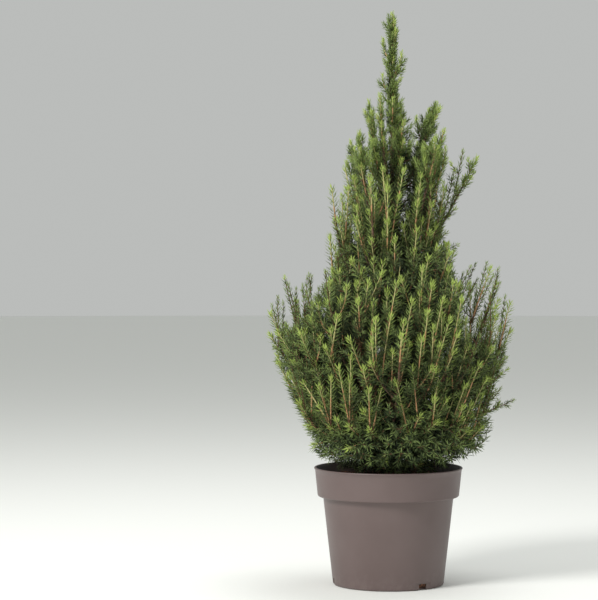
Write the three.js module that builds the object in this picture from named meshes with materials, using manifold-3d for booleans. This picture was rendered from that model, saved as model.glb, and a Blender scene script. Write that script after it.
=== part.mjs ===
// Dwarf Alberta spruce (Picea glauca 'Conica') growing in a round plastic nursery pot.
// Millimetres, +Z up, -Y the front. The origin is the middle of the pot's flat underside.
// One rule grows the tree: a trunk, tiers of boughs, and on each bough a mass of shoots
// that keeps to the space nearest to its own bough.
import * as THREE from 'three';
import { mergeVertices } from 'three/addons/utils/BufferGeometryUtils.js';
import Module from 'manifold-3d';

const wasm = await Module();
wasm.setup();

// ---------------------------------------------------------------- driving dimensions
const GAP = 0.3; // clearance kept where two pieces meet
const LIMB_GAP = 1.3; // clearance kept round every bough

const POT = {
  height: 166,
  rimRadius: 105, // outside, at the top edge
  bandFootRadius: 100.5, // outside, at the foot of the rim band
  bandHeight: 41,
  shoulderRadius: 92.5, // outside, just under the band
  footRadius: 79,
  edge: 3, // rounding between wall and underside
  wall: 2,
  lip: 2.6, // height of the thickened top edge
  sides: 32,
};

const DRAIN = {
  count: 3,
  firstAngle: -52, // degrees from +X, the one at the front right
  width: 13,
  depth: 7,
  height: 8.5,
  recessWidth: 27,
  recessDepth: 1.2,
};

const COMPOST = { top: 150, mound: 5, lumps: 1.8, flatRadius: 19 };

const TRUNK = {
  footRadius: 8.6,
  flareRadius: 13.5,
  flareHeight: 17,
  topRadius: 2.6,
  top: 618, // height where it enters the leader
  leanX: 5, // how far the top stands from the pot's axis
  leanY: -3,
  bow: 4, // sideways bow halfway up
  sides: 8,
};

// A spray of needles is far larger than one needle: each stands for many.
const NEEDLE = {
  length: 14,
  splay: 56, // degrees off the shoot, at its foot
  closing: 12, // how much that closes towards the tip
  tuftSplay: 26, // at the tip itself
  step: 13, // along the shoot, from one pair to the next
  twist: 0.62, // radians from one pair to the next
};

const SHOOT = {
  core: 1.9, // radius of its middle, at the foot
  bud: 3, // how far the end bud stands past the tip
  foot: 9, // bare length at its foot
  out: 0.85, // how far it leans off the bough, against 0.5 along it
  along: 0.5,
  bend: 0.45, // share of its length where it turns up
  tuft: 62, // the longest end shoot
  turn: 2.4, // radians round the bough from one side shoot to the next
  sizes: [1, 0.8, 0.62], // tried one after the other where the space is narrow
};

const STEM = { foot: 3.1, leaderFoot: 1.6, tip: 1.2, end: 0.96 }; // radii; end is a share of the line
const CORE = { rings: 5, sides: 6, spray: 1.2, hollow: 0.72, sweep: 0.5, sizes: [1, 0.85, 0.7, 0.55] };
const SPACE = { trunk: 1.5, neighbour: 1.2, ground: 5, rim: 3 }; // clear distances round a mass
const FRAMES = 60; // places along a bough where its directions are known
const SAMPLES = 14; // straight stretches that stand for a bough when distances are measured
const SEED = 4179;

// Tiers from the lowest up. foot: height on the trunk; reach: how far out the tips stand;
// top: height of the tips; bow and lift: where the bough turns up; enter: share of its
// length that is bare bough (0: the mass starts at the trunk); fat: radius of the dense core;
// full: share of the length where that core ends; shoots and shootLength: the side shoots on
// each mass; rise: how much those bend up.
const TIERS = [
  { name: 'skirt', foot: 177, count: 7, phase: 39, reach: 128, top: 222, bow: 0.6, lift: 0.5,
    enter: 0, fat: 25, full: 0.9, shoots: 3, shootLength: 56, rise: 0.2 },
  { name: 'outer', foot: 190, count: 7, phase: 13, reach: 172, top: 368, bow: 0.7, lift: 0.28,
    enter: 0.24, fat: 33, full: 0.8, shoots: 4, shootLength: 76, rise: 0.6 },
  { name: 'shoulder', foot: 216, count: 6, phase: 0, reach: 156, top: 442, bow: 0.82, lift: 0.3,
    enter: 0.26, fat: 29, full: 0.78, shoots: 4, shootLength: 80, rise: 0.62 },
  { name: 'middle', foot: 256, count: 5, phase: 54, reach: 86, top: 484, bow: 0.9, lift: 0.24,
    enter: 0, fat: 27, full: 0.8, shoots: 2, shootLength: 78, rise: 0.62 },
  { name: 'waist', foot: 330, count: 5, phase: 36, reach: 84, top: 558, bow: 0.82, lift: 0.3,
    enter: 0, fat: 23, full: 0.8, shoots: 3, shootLength: 74, rise: 0.6 },
  { name: 'upper', foot: 430, count: 4, phase: 50, reach: 76, top: 636, bow: 0.74, lift: 0.3,
    enter: 0, fat: 20, full: 0.78, shoots: 3, shootLength: 66, rise: 0.6 },
  { name: 'inner', foot: 482, count: 3, phase: 64, reach: 28, top: 652, bow: 0.6, lift: 0.3,
    enter: 0, fat: 18, full: 0.78, shoots: 2, shootLength: 60, rise: 0.6 },
  { name: 'spire', foot: 540, count: 3, phase: 4, reach: 56, top: 690, bow: 0.74, lift: 0.3,
    enter: 0, fat: 14, full: 0.74, shoots: 3, shootLength: 52, rise: 0.6 },
];

// Long shoots that outgrow their tier.
const STRAYS = [
  { name: 'stray_right', foot: 392, azimuth: 356, reach: 124, top: 604, bow: 0.5, lift: 0.4,
    enter: 0, fat: 0, full: 0, shoots: 3, shootLength: 52, rise: 0.6 },
  { name: 'stray_low', foot: 204, azimuth: 347, reach: 180, top: 264, bow: 0.6, lift: 0.4,
    enter: 0, fat: 0, full: 0, shoots: 3, shootLength: 50, rise: 0.2 },
];

const UP = new THREE.Vector3(0, 0, 1);

// ---------------------------------------------------------------- small helpers
const range = (n) => Array.from({ length: n }, (_, i) => i);
const radians = THREE.MathUtils.degToRad;
const smooth = THREE.MathUtils.smoothstep;

// A repeatable stream of numbers from 0 to 1 (mulberry32).
function stream(seed) {
  let state = seed >>> 0;
  return () => {
    state = (state + 0x6d2b79f5) >>> 0;
    let t = Math.imul(state ^ (state >>> 15), 1 | state);
    t = (t + Math.imul(t ^ (t >>> 7), 61 | t)) ^ t;
    return ((t ^ (t >>> 14)) >>> 0) / 4294967296;
  };
}

function solidOf(geometry) {
  const bare = geometry.clone();
  bare.deleteAttribute('normal');
  bare.deleteAttribute('uv');
  const merged = mergeVertices(bare, 1e-3);
  return new wasm.Manifold(new wasm.Mesh({
    numProp: 3,
    vertProperties: merged.attributes.position.array,
    triVerts: new Uint32Array(merged.index.array),
  }));
}

function geometryOf(solid) {
  const { vertProperties, triVerts } = solid.getMesh();
  const geometry = new THREE.BufferGeometry();
  geometry.setAttribute('position', new THREE.BufferAttribute(vertProperties, 3));
  geometry.setIndex(new THREE.BufferAttribute(triVerts, 1));
  return geometry;
}

// A closed skin over rings of equally many points, from a foot point to a tip point. Each
// four-sided facet is split between its two even corners, so that odd corners stand as spikes.
function skin(foot, rings, tip) {
  const sides = rings[0].length;
  const points = [foot, ...rings.flat(), tip];
  const at = (i, j) => 1 + i * sides + (j % sides);
  const index = [];
  for (const j of range(sides)) index.push(0, at(0, j + 1), at(0, j));
  for (const i of range(rings.length - 1)) {
    for (const j of range(sides)) {
      const [a, b, c, d] = [at(i, j), at(i, j + 1), at(i + 1, j + 1), at(i + 1, j)];
      index.push(...((i + j) % 2 === 0 ? [a, b, c, a, c, d] : [a, b, d, b, c, d]));
    }
  }
  const last = rings.length - 1;
  for (const j of range(sides)) index.push(points.length - 1, at(last, j), at(last, j + 1));
  const geometry = new THREE.BufferGeometry().setFromPoints(points);
  geometry.setIndex(index);
  return geometry;
}

// A round tapering limb along a curve, flat at both ends. radiusAt reads 0 at the foot, 1 at the tip.
function limb(curve, radiusAt, sides, steps) {
  const { normals, binormals } = curve.computeFrenetFrames(steps);
  const rings = range(steps + 1).map((i) => {
    const centre = curve.getPointAt(i / steps);
    return range(sides).map((j) => {
      const angle = (2 * Math.PI * j) / sides;
      const radius = radiusAt(i / steps, angle);
      return centre.clone()
        .addScaledVector(normals[i], radius * Math.cos(angle))
        .addScaledVector(binormals[i], radius * Math.sin(angle));
    });
  });
  return skin(curve.getPointAt(0), rings, curve.getPointAt(1));
}

// ---------------------------------------------------------------- pot and compost
function lathe(profile) {
  const geometry = new THREE.LatheGeometry(profile.map(([r, z]) => new THREE.Vector2(r, z)), POT.sides);
  return geometry.rotateX(Math.PI / 2); // the lathe turns about Y
}

function wallRadius(z) {
  const bandFoot = POT.height - POT.bandHeight;
  const share = (z - POT.edge) / (bandFoot - POT.edge);
  return THREE.MathUtils.lerp(POT.footRadius, POT.shoulderRadius, share);
}

function potGeometry() {
  const { height, rimRadius, bandFootRadius, bandHeight, wall, edge, lip } = POT;
  const bandFoot = height - bandHeight;
  const profile = [
    [0, 0],
    [POT.footRadius - edge, 0],
    [POT.footRadius - 0.3 * edge, 0.3 * edge],
    [POT.footRadius, edge],
    [POT.shoulderRadius, bandFoot],
    [bandFootRadius - 1.5, bandFoot + 0.8],
    [bandFootRadius, bandFoot + 2.6],
    [rimRadius - 0.8, height - lip],
    [rimRadius, height - lip + 0.8],
    [rimRadius - 0.5, height],
    [rimRadius - wall - 0.5, height],
    [bandFootRadius - wall, bandFoot + wall + 1.6],
    [POT.shoulderRadius - wall, bandFoot + 0.2],
    [POT.footRadius - wall, edge + wall],
    [POT.footRadius - edge - wall, wall],
    [0, wall],
  ];
  return lathe(profile);
}

// One drain: a shallow recess in the foot of the wall with a hole through its middle.
function drainTools(angle) {
  const place = (width, depth, height) => {
    const box = new THREE.BoxGeometry(2 * depth, width, 2 * height);
    box.translate(POT.footRadius, 0, 0);
    return solidOf(box.rotateZ(radians(angle)));
  };
  return [
    place(DRAIN.recessWidth, DRAIN.recessDepth, DRAIN.height + 1.5),
    place(DRAIN.width, DRAIN.depth, DRAIN.height),
  ];
}

function potSolid() {
  let solid = solidOf(potGeometry());
  for (const i of range(DRAIN.count)) {
    const angle = DRAIN.firstAngle - (360 * i) / DRAIN.count;
    for (const tool of drainTools(angle)) solid = solid.subtract(tool);
  }
  return solid;
}

// The compost fills the pot's inside and is a little lumpy on top, flat where the trunk stands.
function compostSolid() {
  const { wall, edge, height, bandHeight } = POT;
  const bandFoot = height - bandHeight;
  const inner = (z) => {
    const share = (z - bandFoot) / bandHeight;
    return THREE.MathUtils.lerp(POT.bandFootRadius, POT.rimRadius, share) - wall - 1.2;
  };
  const side = [
    [POT.footRadius - edge - wall - 1, wall + GAP],
    [POT.footRadius - wall - 0.6, edge + wall + 1],
    [POT.shoulderRadius - wall - 0.6, bandFoot + 0.8],
    [inner(bandFoot + 5.5), bandFoot + 5.5],
    [inner(COMPOST.top), COMPOST.top - 2],
  ];
  const rings = [88, 64, 40, COMPOST.flatRadius];
  const rise = (r) => COMPOST.mound * (1 - smooth(r, COMPOST.flatRadius, 96));
  const top = rings.map((r) => [r, COMPOST.top + rise(r)]);
  const profile = [[0, wall + GAP], ...side, ...top, [0, COMPOST.top + COMPOST.mound]];
  const geometry = lathe(profile);
  const position = geometry.getAttribute('position');
  for (const i of range(position.count)) {
    const [x, y, z] = [position.getX(i), position.getY(i), position.getZ(i)];
    const r = Math.hypot(x, y);
    if (z < COMPOST.top - 1 || r < COMPOST.flatRadius + 1) continue;
    const wave = Math.sin(0.13 * x + 0.7) * Math.cos(0.11 * y) + Math.sin(0.21 * y - 0.17 * x);
    position.setZ(i, z + COMPOST.lumps * wave * 0.6);
  }
  return solidOf(geometry);
}

// ---------------------------------------------------------------- trunk
const groundZ = COMPOST.top + COMPOST.mound;

function trunkPoint(z) {
  const share = (z - groundZ) / (TRUNK.top - groundZ);
  const bow = TRUNK.bow * Math.sin(Math.PI * share) * Math.cos(2.2 * share);
  return new THREE.Vector3(TRUNK.leanX * share - bow, TRUNK.leanY * share + 0.5 * bow, z);
}

function trunkRadius(z) {
  const share = THREE.MathUtils.clamp((z - groundZ) / (TRUNK.top - groundZ), 0, 1);
  return THREE.MathUtils.lerp(TRUNK.footRadius, TRUNK.topRadius, share ** 0.85);
}

function trunkGeometry(extra = 0) {
  const heights = [groundZ + GAP, groundZ + 4, groundZ + 9, groundZ + TRUNK.flareHeight];
  const rest = range(12).map((i) => THREE.MathUtils.lerp(groundZ + 34, TRUNK.top, i / 11));
  const rings = [...heights, ...rest].map((z) => {
    const centre = trunkPoint(z);
    const flare = 1 - smooth(z, groundZ, groundZ + TRUNK.flareHeight);
    return range(TRUNK.sides).map((j) => {
      const angle = (2 * Math.PI * j) / TRUNK.sides;
      const roots = 1 + 0.22 * Math.cos(4 * angle);
      const spread = (TRUNK.flareRadius - TRUNK.footRadius) * flare * flare * roots;
      const radius = trunkRadius(z) + spread + extra;
      return new THREE.Vector3(
        centre.x + radius * Math.cos(angle), centre.y + radius * Math.sin(angle), z);
    });
  });
  const middle = (ring) => new THREE.Vector3(
    trunkPoint(ring[0].z).x, trunkPoint(ring[0].z).y, ring[0].z);
  return skin(middle(rings[0]), rings, middle(rings.at(-1)));
}

// ---------------------------------------------------------------- the growing rule
// The line of one bough: out from the trunk, then up to its tip.
function boughLine({ foot, azimuth, reach, top, bow, lift }) {
  const out = new THREE.Vector3(Math.cos(radians(azimuth)), Math.sin(radians(azimuth)), 0);
  const from = trunkPoint(foot);
  const tip = from.clone().addScaledVector(out, reach).setZ(top);
  const turn = from.clone().addScaledVector(out, bow * reach).setZ(foot + lift * (top - foot));
  return new THREE.QuadraticBezierCurve3(from, turn, tip);
}

// All boughs of the tree, each with its own size, place and seed.
function growBoughs() {
  const next = stream(SEED);
  const about = (middle, part) => middle * (1 + part * (2 * next() - 1));
  const boughs = [];
  for (const tier of TIERS) {
    for (const i of range(tier.count)) {
      boughs.push({
        ...tier,
        name: tier.name + '_' + String.fromCharCode(97 + i),
        azimuth: tier.phase + (360 * i) / tier.count + 14 * (next() - 0.5),
        foot: tier.foot + 3 * (i % 3) + 4 * (next() - 0.5),
        reach: about(tier.reach, 0.1),
        top: tier.top + 40 * (next() - 0.5),
      });
    }
  }
  boughs.push(...STRAYS);
  return boughs.map((bough, i) => ({ ...bough, line: boughLine(bough), seed: SEED + 101 * (i + 1) }));
}

const boughs = growBoughs();
const leaderLine = new THREE.LineCurve3(
  trunkPoint(TRUNK.top + GAP), new THREE.Vector3(TRUNK.leanX, TRUNK.leanY, 808));
boughs.push({
  name: 'leader', line: leaderLine, seed: SEED, enter: 0, fat: 13, full: 0.7,
  shoots: 6, shootLength: 44, rise: 0.6, onTrunk: true,
});

// How far a point stands from a line given as short straight stretches.
const stretch = new THREE.Line3();
const nearest = new THREE.Vector3();
function distanceTo(points, place) {
  let least = Infinity;
  for (const i of range(points.length - 1)) {
    stretch.set(points[i], points[i + 1]);
    stretch.closestPointToPoint(place, true, nearest);
    least = Math.min(least, nearest.distanceTo(place));
  }
  return least;
}

for (const bough of boughs) bough.points = bough.line.getSpacedPoints(SAMPLES);
const trunkLine = range(24).map((i) => trunkPoint(THREE.MathUtils.lerp(groundZ, TRUNK.top, i / 23)));

// True if the place is in the bough's own space: nearer to its line than to any other,
// off the trunk, and clear of the compost and the pot's rim.
function inSpace(bough, place) {
  const overRim = Math.hypot(place.x, place.y) > POT.footRadius;
  const floor = overRim ? POT.height + SPACE.rim : groundZ + SPACE.ground;
  if (place.z < floor) return false;
  if (distanceTo(trunkLine, place) < trunkRadius(place.z) + SPACE.trunk) return false;
  const own = distanceTo(bough.points, place) + SPACE.neighbour;
  return boughs.every((other) => other === bough || distanceTo(other.points, place) > own);
}

// A direction square to a bough's line, turned by an angle round it.
function outwardAt(normal, binormal, angle) {
  return normal.clone().multiplyScalar(Math.cos(angle)).addScaledVector(binormal, Math.sin(angle));
}

// One shoot: a slim four-sided core with a pair of needles standing out at each ring, and a
// tuft at its tip. Returns nothing if a needle would leave the bough's space.
function shoot(bough, line, start, turn) {
  const length = line.getLength();
  const count = Math.max(3, Math.round((length - start) / NEEDLE.step));
  const { normals, binormals, tangents } = line.computeFrenetFrames(count);
  const tips = [];
  const rings = range(count).map((i) => {
    const u = (start + ((length - start) * (i + 0.35)) / count) / length;
    const centre = line.getPointAt(u);
    const tuft = i === count - 1;
    const splay = radians(tuft ? NEEDLE.tuftSplay : NEEDLE.splay - NEEDLE.closing * (i / count));
    return range(4).map((j) => {
      const outward = outwardAt(normals[i], binormals[i], turn + NEEDLE.twist * i + (Math.PI / 2) * j);
      if ((i + j) % 2 === 0) {
        return centre.clone().addScaledVector(outward, SHOOT.core * (1.15 - 0.5 * u));
      }
      const tip = centre.clone()
        .addScaledVector(outward, NEEDLE.length * Math.sin(splay))
        .addScaledVector(tangents[i], NEEDLE.length * Math.cos(splay));
      tips.push(tip);
      return tip;
    });
  });
  const bud = line.getPointAt(1).addScaledVector(tangents[count], SHOOT.bud);
  if (![...tips, bud].every((tip) => inSpace(bough, tip))) return null;
  const foot = line.getPointAt(Math.max(0, start - NEEDLE.step) / length);
  return solidOf(skin(foot, rings, bud));
}

// The line of a side shoot: out of the bough at an angle, then bending up.
function shootLine(from, along, outward, length, rise) {
  const away = along.clone().multiplyScalar(SHOOT.along).addScaledVector(outward, SHOOT.out).normalize();
  const tip = from.clone().addScaledVector(away, (1 - 0.85 * rise) * length)
    .addScaledVector(UP, rise * length);
  const turn = from.clone().addScaledVector(away, SHOOT.bend * length);
  return new THREE.QuadraticBezierCurve3(from, turn, tip);
}

// The dense middle of a mass: every other corner stands out as a spray, and all are drawn in
// where a neighbour's space begins.
function coreSolid(bough, from, to, fat) {
  const { normals, binormals, tangents } = bough.line.computeFrenetFrames(FRAMES);
  const rings = range(CORE.rings).map((i) => {
    const share = (i + 0.5) / CORE.rings;
    const u = THREE.MathUtils.lerp(from, to, share);
    const centre = bough.line.getPointAt(u);
    const frame = Math.round(FRAMES * u);
    const girth = fat * Math.sin(Math.PI * (0.2 + 0.7 * share));
    return range(CORE.sides).map((j) => {
      const spray = (i + j) % 2 === 1;
      const outward = outwardAt(normals[frame], binormals[frame], (2 * Math.PI * j) / CORE.sides);
      let radius = girth * (spray ? CORE.spray : CORE.hollow);
      const corner = () => centre.clone().addScaledVector(outward, radius)
        .addScaledVector(tangents[frame], spray ? CORE.sweep * radius : 0);
      while (radius > STEM.foot && !inSpace(bough, corner())) radius *= 0.85;
      return corner();
    });
  });
  return solidOf(skin(bough.line.getPointAt(from), rings, bough.line.getPointAt(to)));
}

const clearOfTrunk = solidOf(trunkGeometry(GAP));

function stemRadius(bough, u) {
  return THREE.MathUtils.lerp(bough.onTrunk ? STEM.leaderFoot : STEM.foot, STEM.tip, u);
}

// The part of a line between two shares of its length.
function partOf(line, from, to) {
  const at = (i) => line.getPointAt(THREE.MathUtils.lerp(from, to, i / 5));
  return new THREE.CatmullRomCurve3(range(6).map(at));
}

// The bare foot of a bough, from the trunk to where it enters its mass.
function boughSolid(bough, extra = 0) {
  const line = partOf(bough.line, 0, bough.enter);
  const body = limb(line, (u) => stemRadius(bough, u * bough.enter) + extra, 6, 4);
  return solidOf(body).subtract(clearOfTrunk);
}

// Each bough whole, out to its tip, with clear air round it.
for (const bough of boughs) {
  const line = partOf(bough.line, 0, STEM.end);
  bough.limb = solidOf(limb(line, (u) => stemRadius(bough, u) + LIMB_GAP, 6, 8));
}

// True if a piece of this bough's mass touches another bough, or a mass that is already there.
function touches(bough, piece) {
  const meets = (other) => other && !piece.intersect(other).isEmpty();
  return boughs.some((other) => other !== bough && (meets(other.limb) || meets(other.mass)));
}

// The first of several sizes that stays clear of everything, or nothing.
function firstClear(bough, sizes, make) {
  for (const size of sizes) {
    const made = make(size);
    if (made && !touches(bough, made)) return made;
  }
  return null;
}

// One mass of foliage: its stem, the end shoot, the dense middle and the side shoots.
function massSolid(bough) {
  const length = bough.line.getLength();
  const from = bough.enter ? bough.enter + GAP / length : 0;
  const stem = partOf(bough.line, from, STEM.end);
  let solid = solidOf(limb(stem, (u) => stemRadius(bough, from + u * (1 - from)), 3, 4));
  const add = (piece) => {
    if (piece) solid = solid.add(piece);
  };
  const next = stream(bough.seed);
  const tuft = Math.min(0.5 * length, SHOOT.tuft);
  const endTurn = 6 * next();
  add(firstClear(bough, SHOOT.sizes, (size) => (
    shoot(bough, bough.line, length - size * tuft, endTurn))));
  if (bough.fat) {
    add(firstClear(bough, CORE.sizes, (size) => (
      coreSolid(bough, Math.max(from + 0.02, 0.1), bough.full, size * bough.fat))));
  }
  const { normals, binormals, tangents } = bough.line.computeFrenetFrames(FRAMES);
  const first = Math.max(from + 0.06, 22 / length);
  for (const k of range(bough.shoots)) {
    const u = THREE.MathUtils.lerp(first, 0.86, (k + 0.5 * next()) / bough.shoots);
    const frame = Math.round(FRAMES * u);
    const turn = SHOOT.turn * k + 1.2 * next();
    const outward = outwardAt(normals[frame], binormals[frame], turn);
    const full = bough.shootLength * (1 - 0.25 * u) * (0.9 + 0.2 * next());
    add(firstClear(bough, SHOOT.sizes, (size) => {
      const foot = bough.line.getPointAt(u);
      const line = shootLine(foot, tangents[frame], outward, size * full, bough.rise);
      return shoot(bough, line, SHOOT.foot, turn);
    }));
  }
  solid = solid.subtract(clearOfTrunk);
  if (bough.enter) solid = solid.subtract(boughSolid(bough, GAP));
  return solid.decompose().sort((a, b) => b.volume() - a.volume())[0];
}

// ---------------------------------------------------------------- the part
const materials = {
  pot: new THREE.MeshStandardMaterial({ color: 0x85756f, roughness: 0.55, metalness: 0 }),
  compost: new THREE.MeshStandardMaterial({ color: 0x3a241b, roughness: 0.95, metalness: 0 }),
  bark: new THREE.MeshStandardMaterial({ color: 0x8a5a3a, roughness: 0.85, metalness: 0 }),
  needles: new THREE.MeshStandardMaterial({ color: 0x3d5a2c, roughness: 0.7, metalness: 0 }),
};

const tree = new THREE.Group();
function place(name, solid, material) {
  const mesh = new THREE.Mesh(geometryOf(solid), material);
  mesh.name = name;
  tree.add(mesh);
}

place('pot', potSolid(), materials.pot);
place('compost', compostSolid(), materials.compost);
place('trunk', solidOf(trunkGeometry()), materials.bark);
for (const bough of boughs) {
  if (bough.enter) place('bough_' + bough.name, boughSolid(bough), materials.bark);
  bough.mass = massSolid(bough);
  place('mass_' + bough.name, bough.mass, materials.needles);
}

export default tree;
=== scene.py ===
"""Dwarf Alberta spruce in a round plastic nursery pot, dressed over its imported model.

Lengths of the growing rule are millimetres, with +Z up and -Y the front, as in the part's
source. Meshes are made in metres. Every class below is one sub-assembly or one finish.
"""
import logging
import math
from dataclasses import dataclass, field, replace
from enum import Enum
from typing import Callable, Iterable, Sequence

import bmesh
import bpy
import numpy as np
from mathutils import Matrix, Vector
from mathutils.kdtree import KDTree


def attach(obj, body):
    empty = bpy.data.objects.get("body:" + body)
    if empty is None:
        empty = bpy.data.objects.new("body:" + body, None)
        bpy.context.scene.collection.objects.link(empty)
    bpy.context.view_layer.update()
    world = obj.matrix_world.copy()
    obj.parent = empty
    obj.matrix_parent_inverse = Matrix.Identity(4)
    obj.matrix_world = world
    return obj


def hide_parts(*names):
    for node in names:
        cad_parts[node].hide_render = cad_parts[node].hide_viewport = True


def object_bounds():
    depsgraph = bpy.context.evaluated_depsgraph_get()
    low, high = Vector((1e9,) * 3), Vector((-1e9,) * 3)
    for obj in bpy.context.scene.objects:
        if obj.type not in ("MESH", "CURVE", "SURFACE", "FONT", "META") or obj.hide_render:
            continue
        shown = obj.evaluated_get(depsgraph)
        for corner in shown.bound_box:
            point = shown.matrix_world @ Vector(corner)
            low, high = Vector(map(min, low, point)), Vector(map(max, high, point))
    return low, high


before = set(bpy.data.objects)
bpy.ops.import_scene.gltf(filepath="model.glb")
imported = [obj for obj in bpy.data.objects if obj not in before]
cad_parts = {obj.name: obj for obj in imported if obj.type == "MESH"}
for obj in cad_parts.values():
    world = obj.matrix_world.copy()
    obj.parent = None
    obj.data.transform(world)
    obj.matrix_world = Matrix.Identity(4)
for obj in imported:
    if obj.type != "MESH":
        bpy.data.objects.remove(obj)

CAD_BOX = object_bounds()
MM = 0.001
ROOT = "root"
GOLDEN_TURN = math.radians(137.508)
PATH_STEP = 9.0
KEPT_ATTRIBUTES = {"position", "material_index", "sharp_face", "sharp_edge"}
UP = np.array((0.0, 0.0, 1.0))
log = logging.getLogger("potted_spruce")

Pair = tuple[float, float]
Triple = tuple[float, float, float]
Colour = Triple
Array = np.ndarray
Faces = list[tuple[int, ...]]
Piece = bpy.types.Object
Socket = bpy.types.NodeSocket
Material = bpy.types.Material


# ---------------------------------------------------------------- small helpers
def lerp(start: float | Array, end: float | Array, share: float) -> float | Array:
    """The value a share of the way from start to end."""
    return start + (end - start) * share


def smoothstep(value: Array | float, low: float, high: float) -> Array | float:
    """Runs smoothly from 0 at low to 1 at high."""
    share = np.clip((np.asarray(value, float) - low) / (high - low), 0.0, 1.0)
    return share * share * (3.0 - 2.0 * share)


def unit(vector: Array) -> Array:
    """The vector with a length of one."""
    return vector / max(float(np.linalg.norm(vector)), 1e-12)


def level_direction(angle: float) -> Array:
    """The level direction at an angle from +X."""
    return np.array((math.cos(angle), math.sin(angle), 0.0))


def circle(sides: int) -> Array:
    """Points of a level circle with a radius of one."""
    angles = np.arange(sides) * 2 * math.pi / sides
    return np.stack([np.cos(angles), np.sin(angles), np.zeros(sides)], 1)


def lathe_rings(profile: Iterable[Pair], sides: int) -> list[Array]:
    """A ring of points round the Z axis for each (radius, height) of a profile."""
    return [circle(sides) * (r, r, 1) + (0, 0, z) for r, z in profile]


def path_points(length: float) -> int:
    """How many points describe a stretch of path, by its length in millimetres."""
    return max(3, round(length / PATH_STEP) + 1)


class Stream:
    """A repeatable stream of numbers from 0 to 1 (mulberry32), the same as in the part's source."""

    def __init__(self, seed: int) -> None:
        """Starts the stream.

        Args:
            seed: any whole number.
        """
        self.state = seed & 0xFFFFFFFF

    def __call__(self) -> float:
        """The next number.

        Returns:
            A number from 0 up to 1.
        """
        mask = 0xFFFFFFFF
        self.state = (self.state + 0x6D2B79F5) & mask
        t = self.state
        t = ((t ^ (t >> 15)) * (1 | t)) & mask
        t = ((t + (((t ^ (t >> 7)) * (61 | t)) & mask)) & mask) ^ t
        return ((t ^ (t >> 14)) & mask) / 4294967296.0


def linked(name: str, data: bpy.types.ID) -> Piece:
    """Puts a mesh, light or camera into the scene as a new object at the origin."""
    piece = bpy.data.objects.new(name, data)
    bpy.context.scene.collection.objects.link(piece)
    return piece


def from_work(name: str, work: bmesh.types.BMesh) -> Piece:
    """Makes a linked object of a finished work mesh, which is freed."""
    mesh = bpy.data.meshes.new(name)
    work.to_mesh(mesh)
    work.free()
    return linked(name, mesh)


def mesh_object(name: str, verts: Array, faces: Faces, smooth: bool = True) -> Piece:
    """Makes a linked mesh object from millimetre points.

    Args:
        name: the piece's name.
        verts: points in millimetres, one row each.
        faces: corners of each face, wound so that it points outwards.
        smooth: whether the faces are shaded smooth.

    Returns:
        The new object, at the origin.
    """
    mesh = bpy.data.meshes.new(name)
    mesh.from_pydata((np.asarray(verts, float) * MM).tolist(), [], [list(f) for f in faces])
    mesh.polygons.foreach_set("use_smooth", [smooth] * len(mesh.polygons))
    mesh.update()
    return linked(name, mesh)


def evaluated_copy(source: Piece, name: str) -> Piece:
    """Turns an object with live modifiers into a plain mesh object and removes the first.

    Args:
        source: the object whose modifiers are applied.
        name: the name of the plain mesh.

    Returns:
        The plain mesh object.
    """
    bpy.context.view_layer.update()
    shaped = source.evaluated_get(bpy.context.evaluated_depsgraph_get())
    mesh = bpy.data.meshes.new_from_object(shaped)
    mesh.name = name
    old = source.data
    bpy.data.objects.remove(source)
    if isinstance(old, bpy.types.Mesh):
        bpy.data.meshes.remove(old)
    return linked(name, mesh)


def grid_faces(rows: int, columns: int) -> Faces:
    """Four-sided faces between rings of points, where each ring runs anticlockwise and rises.

    Args:
        rows: how many rings there are.
        columns: points in each ring.

    Returns:
        The faces, pointing outwards.
    """
    return [
        (i * columns + j, i * columns + (j + 1) % columns,
         (i + 1) * columns + (j + 1) % columns, (i + 1) * columns + j)
        for i in range(rows - 1) for j in range(columns)
    ]


def closed_skin(rows: Sequence[Array], low: Array | Triple, high: Array | Triple) -> tuple[Array, Faces]:
    """Joins rings of points into one closed skin.

    Args:
        rows: the rings, each with as many points as the first.
        low: the point that closes the first ring.
        high: the point that closes the last ring.

    Returns:
        Points and outward faces.
    """
    sides = len(rows[0])
    points = np.concatenate([*rows, [low], [high]])
    under, over, last = len(points) - 2, len(points) - 1, (len(rows) - 1) * sides
    faces = grid_faces(len(rows), sides)
    faces += [(under, (j + 1) % sides, j) for j in range(sides)]
    faces += [(over, last + j, last + (j + 1) % sides) for j in range(sides)]
    return points, faces


def triangles(piece: Piece) -> int:
    """How many triangles a mesh object has."""
    return sum(len(p.vertices) - 2 for p in piece.data.polygons)


def hand_in(piece: Piece, nodes: Iterable[str], material: Material | None = None) -> None:
    """Rides a finished piece on the plant's body and hides the nodes that it stands for.

    Args:
        piece: the finished piece.
        nodes: CAD nodes that the piece replaces.
        material: its finish, or nothing where the piece already has it.
    """
    if material is not None:
        piece.data.materials.clear()
        piece.data.materials.append(material)
    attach(piece, ROOT)
    names = sorted(nodes)
    if names:
        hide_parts(*names)
    log.info("%s: %d triangles, stands for %d nodes", piece.name, triangles(piece), len(names))


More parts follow.
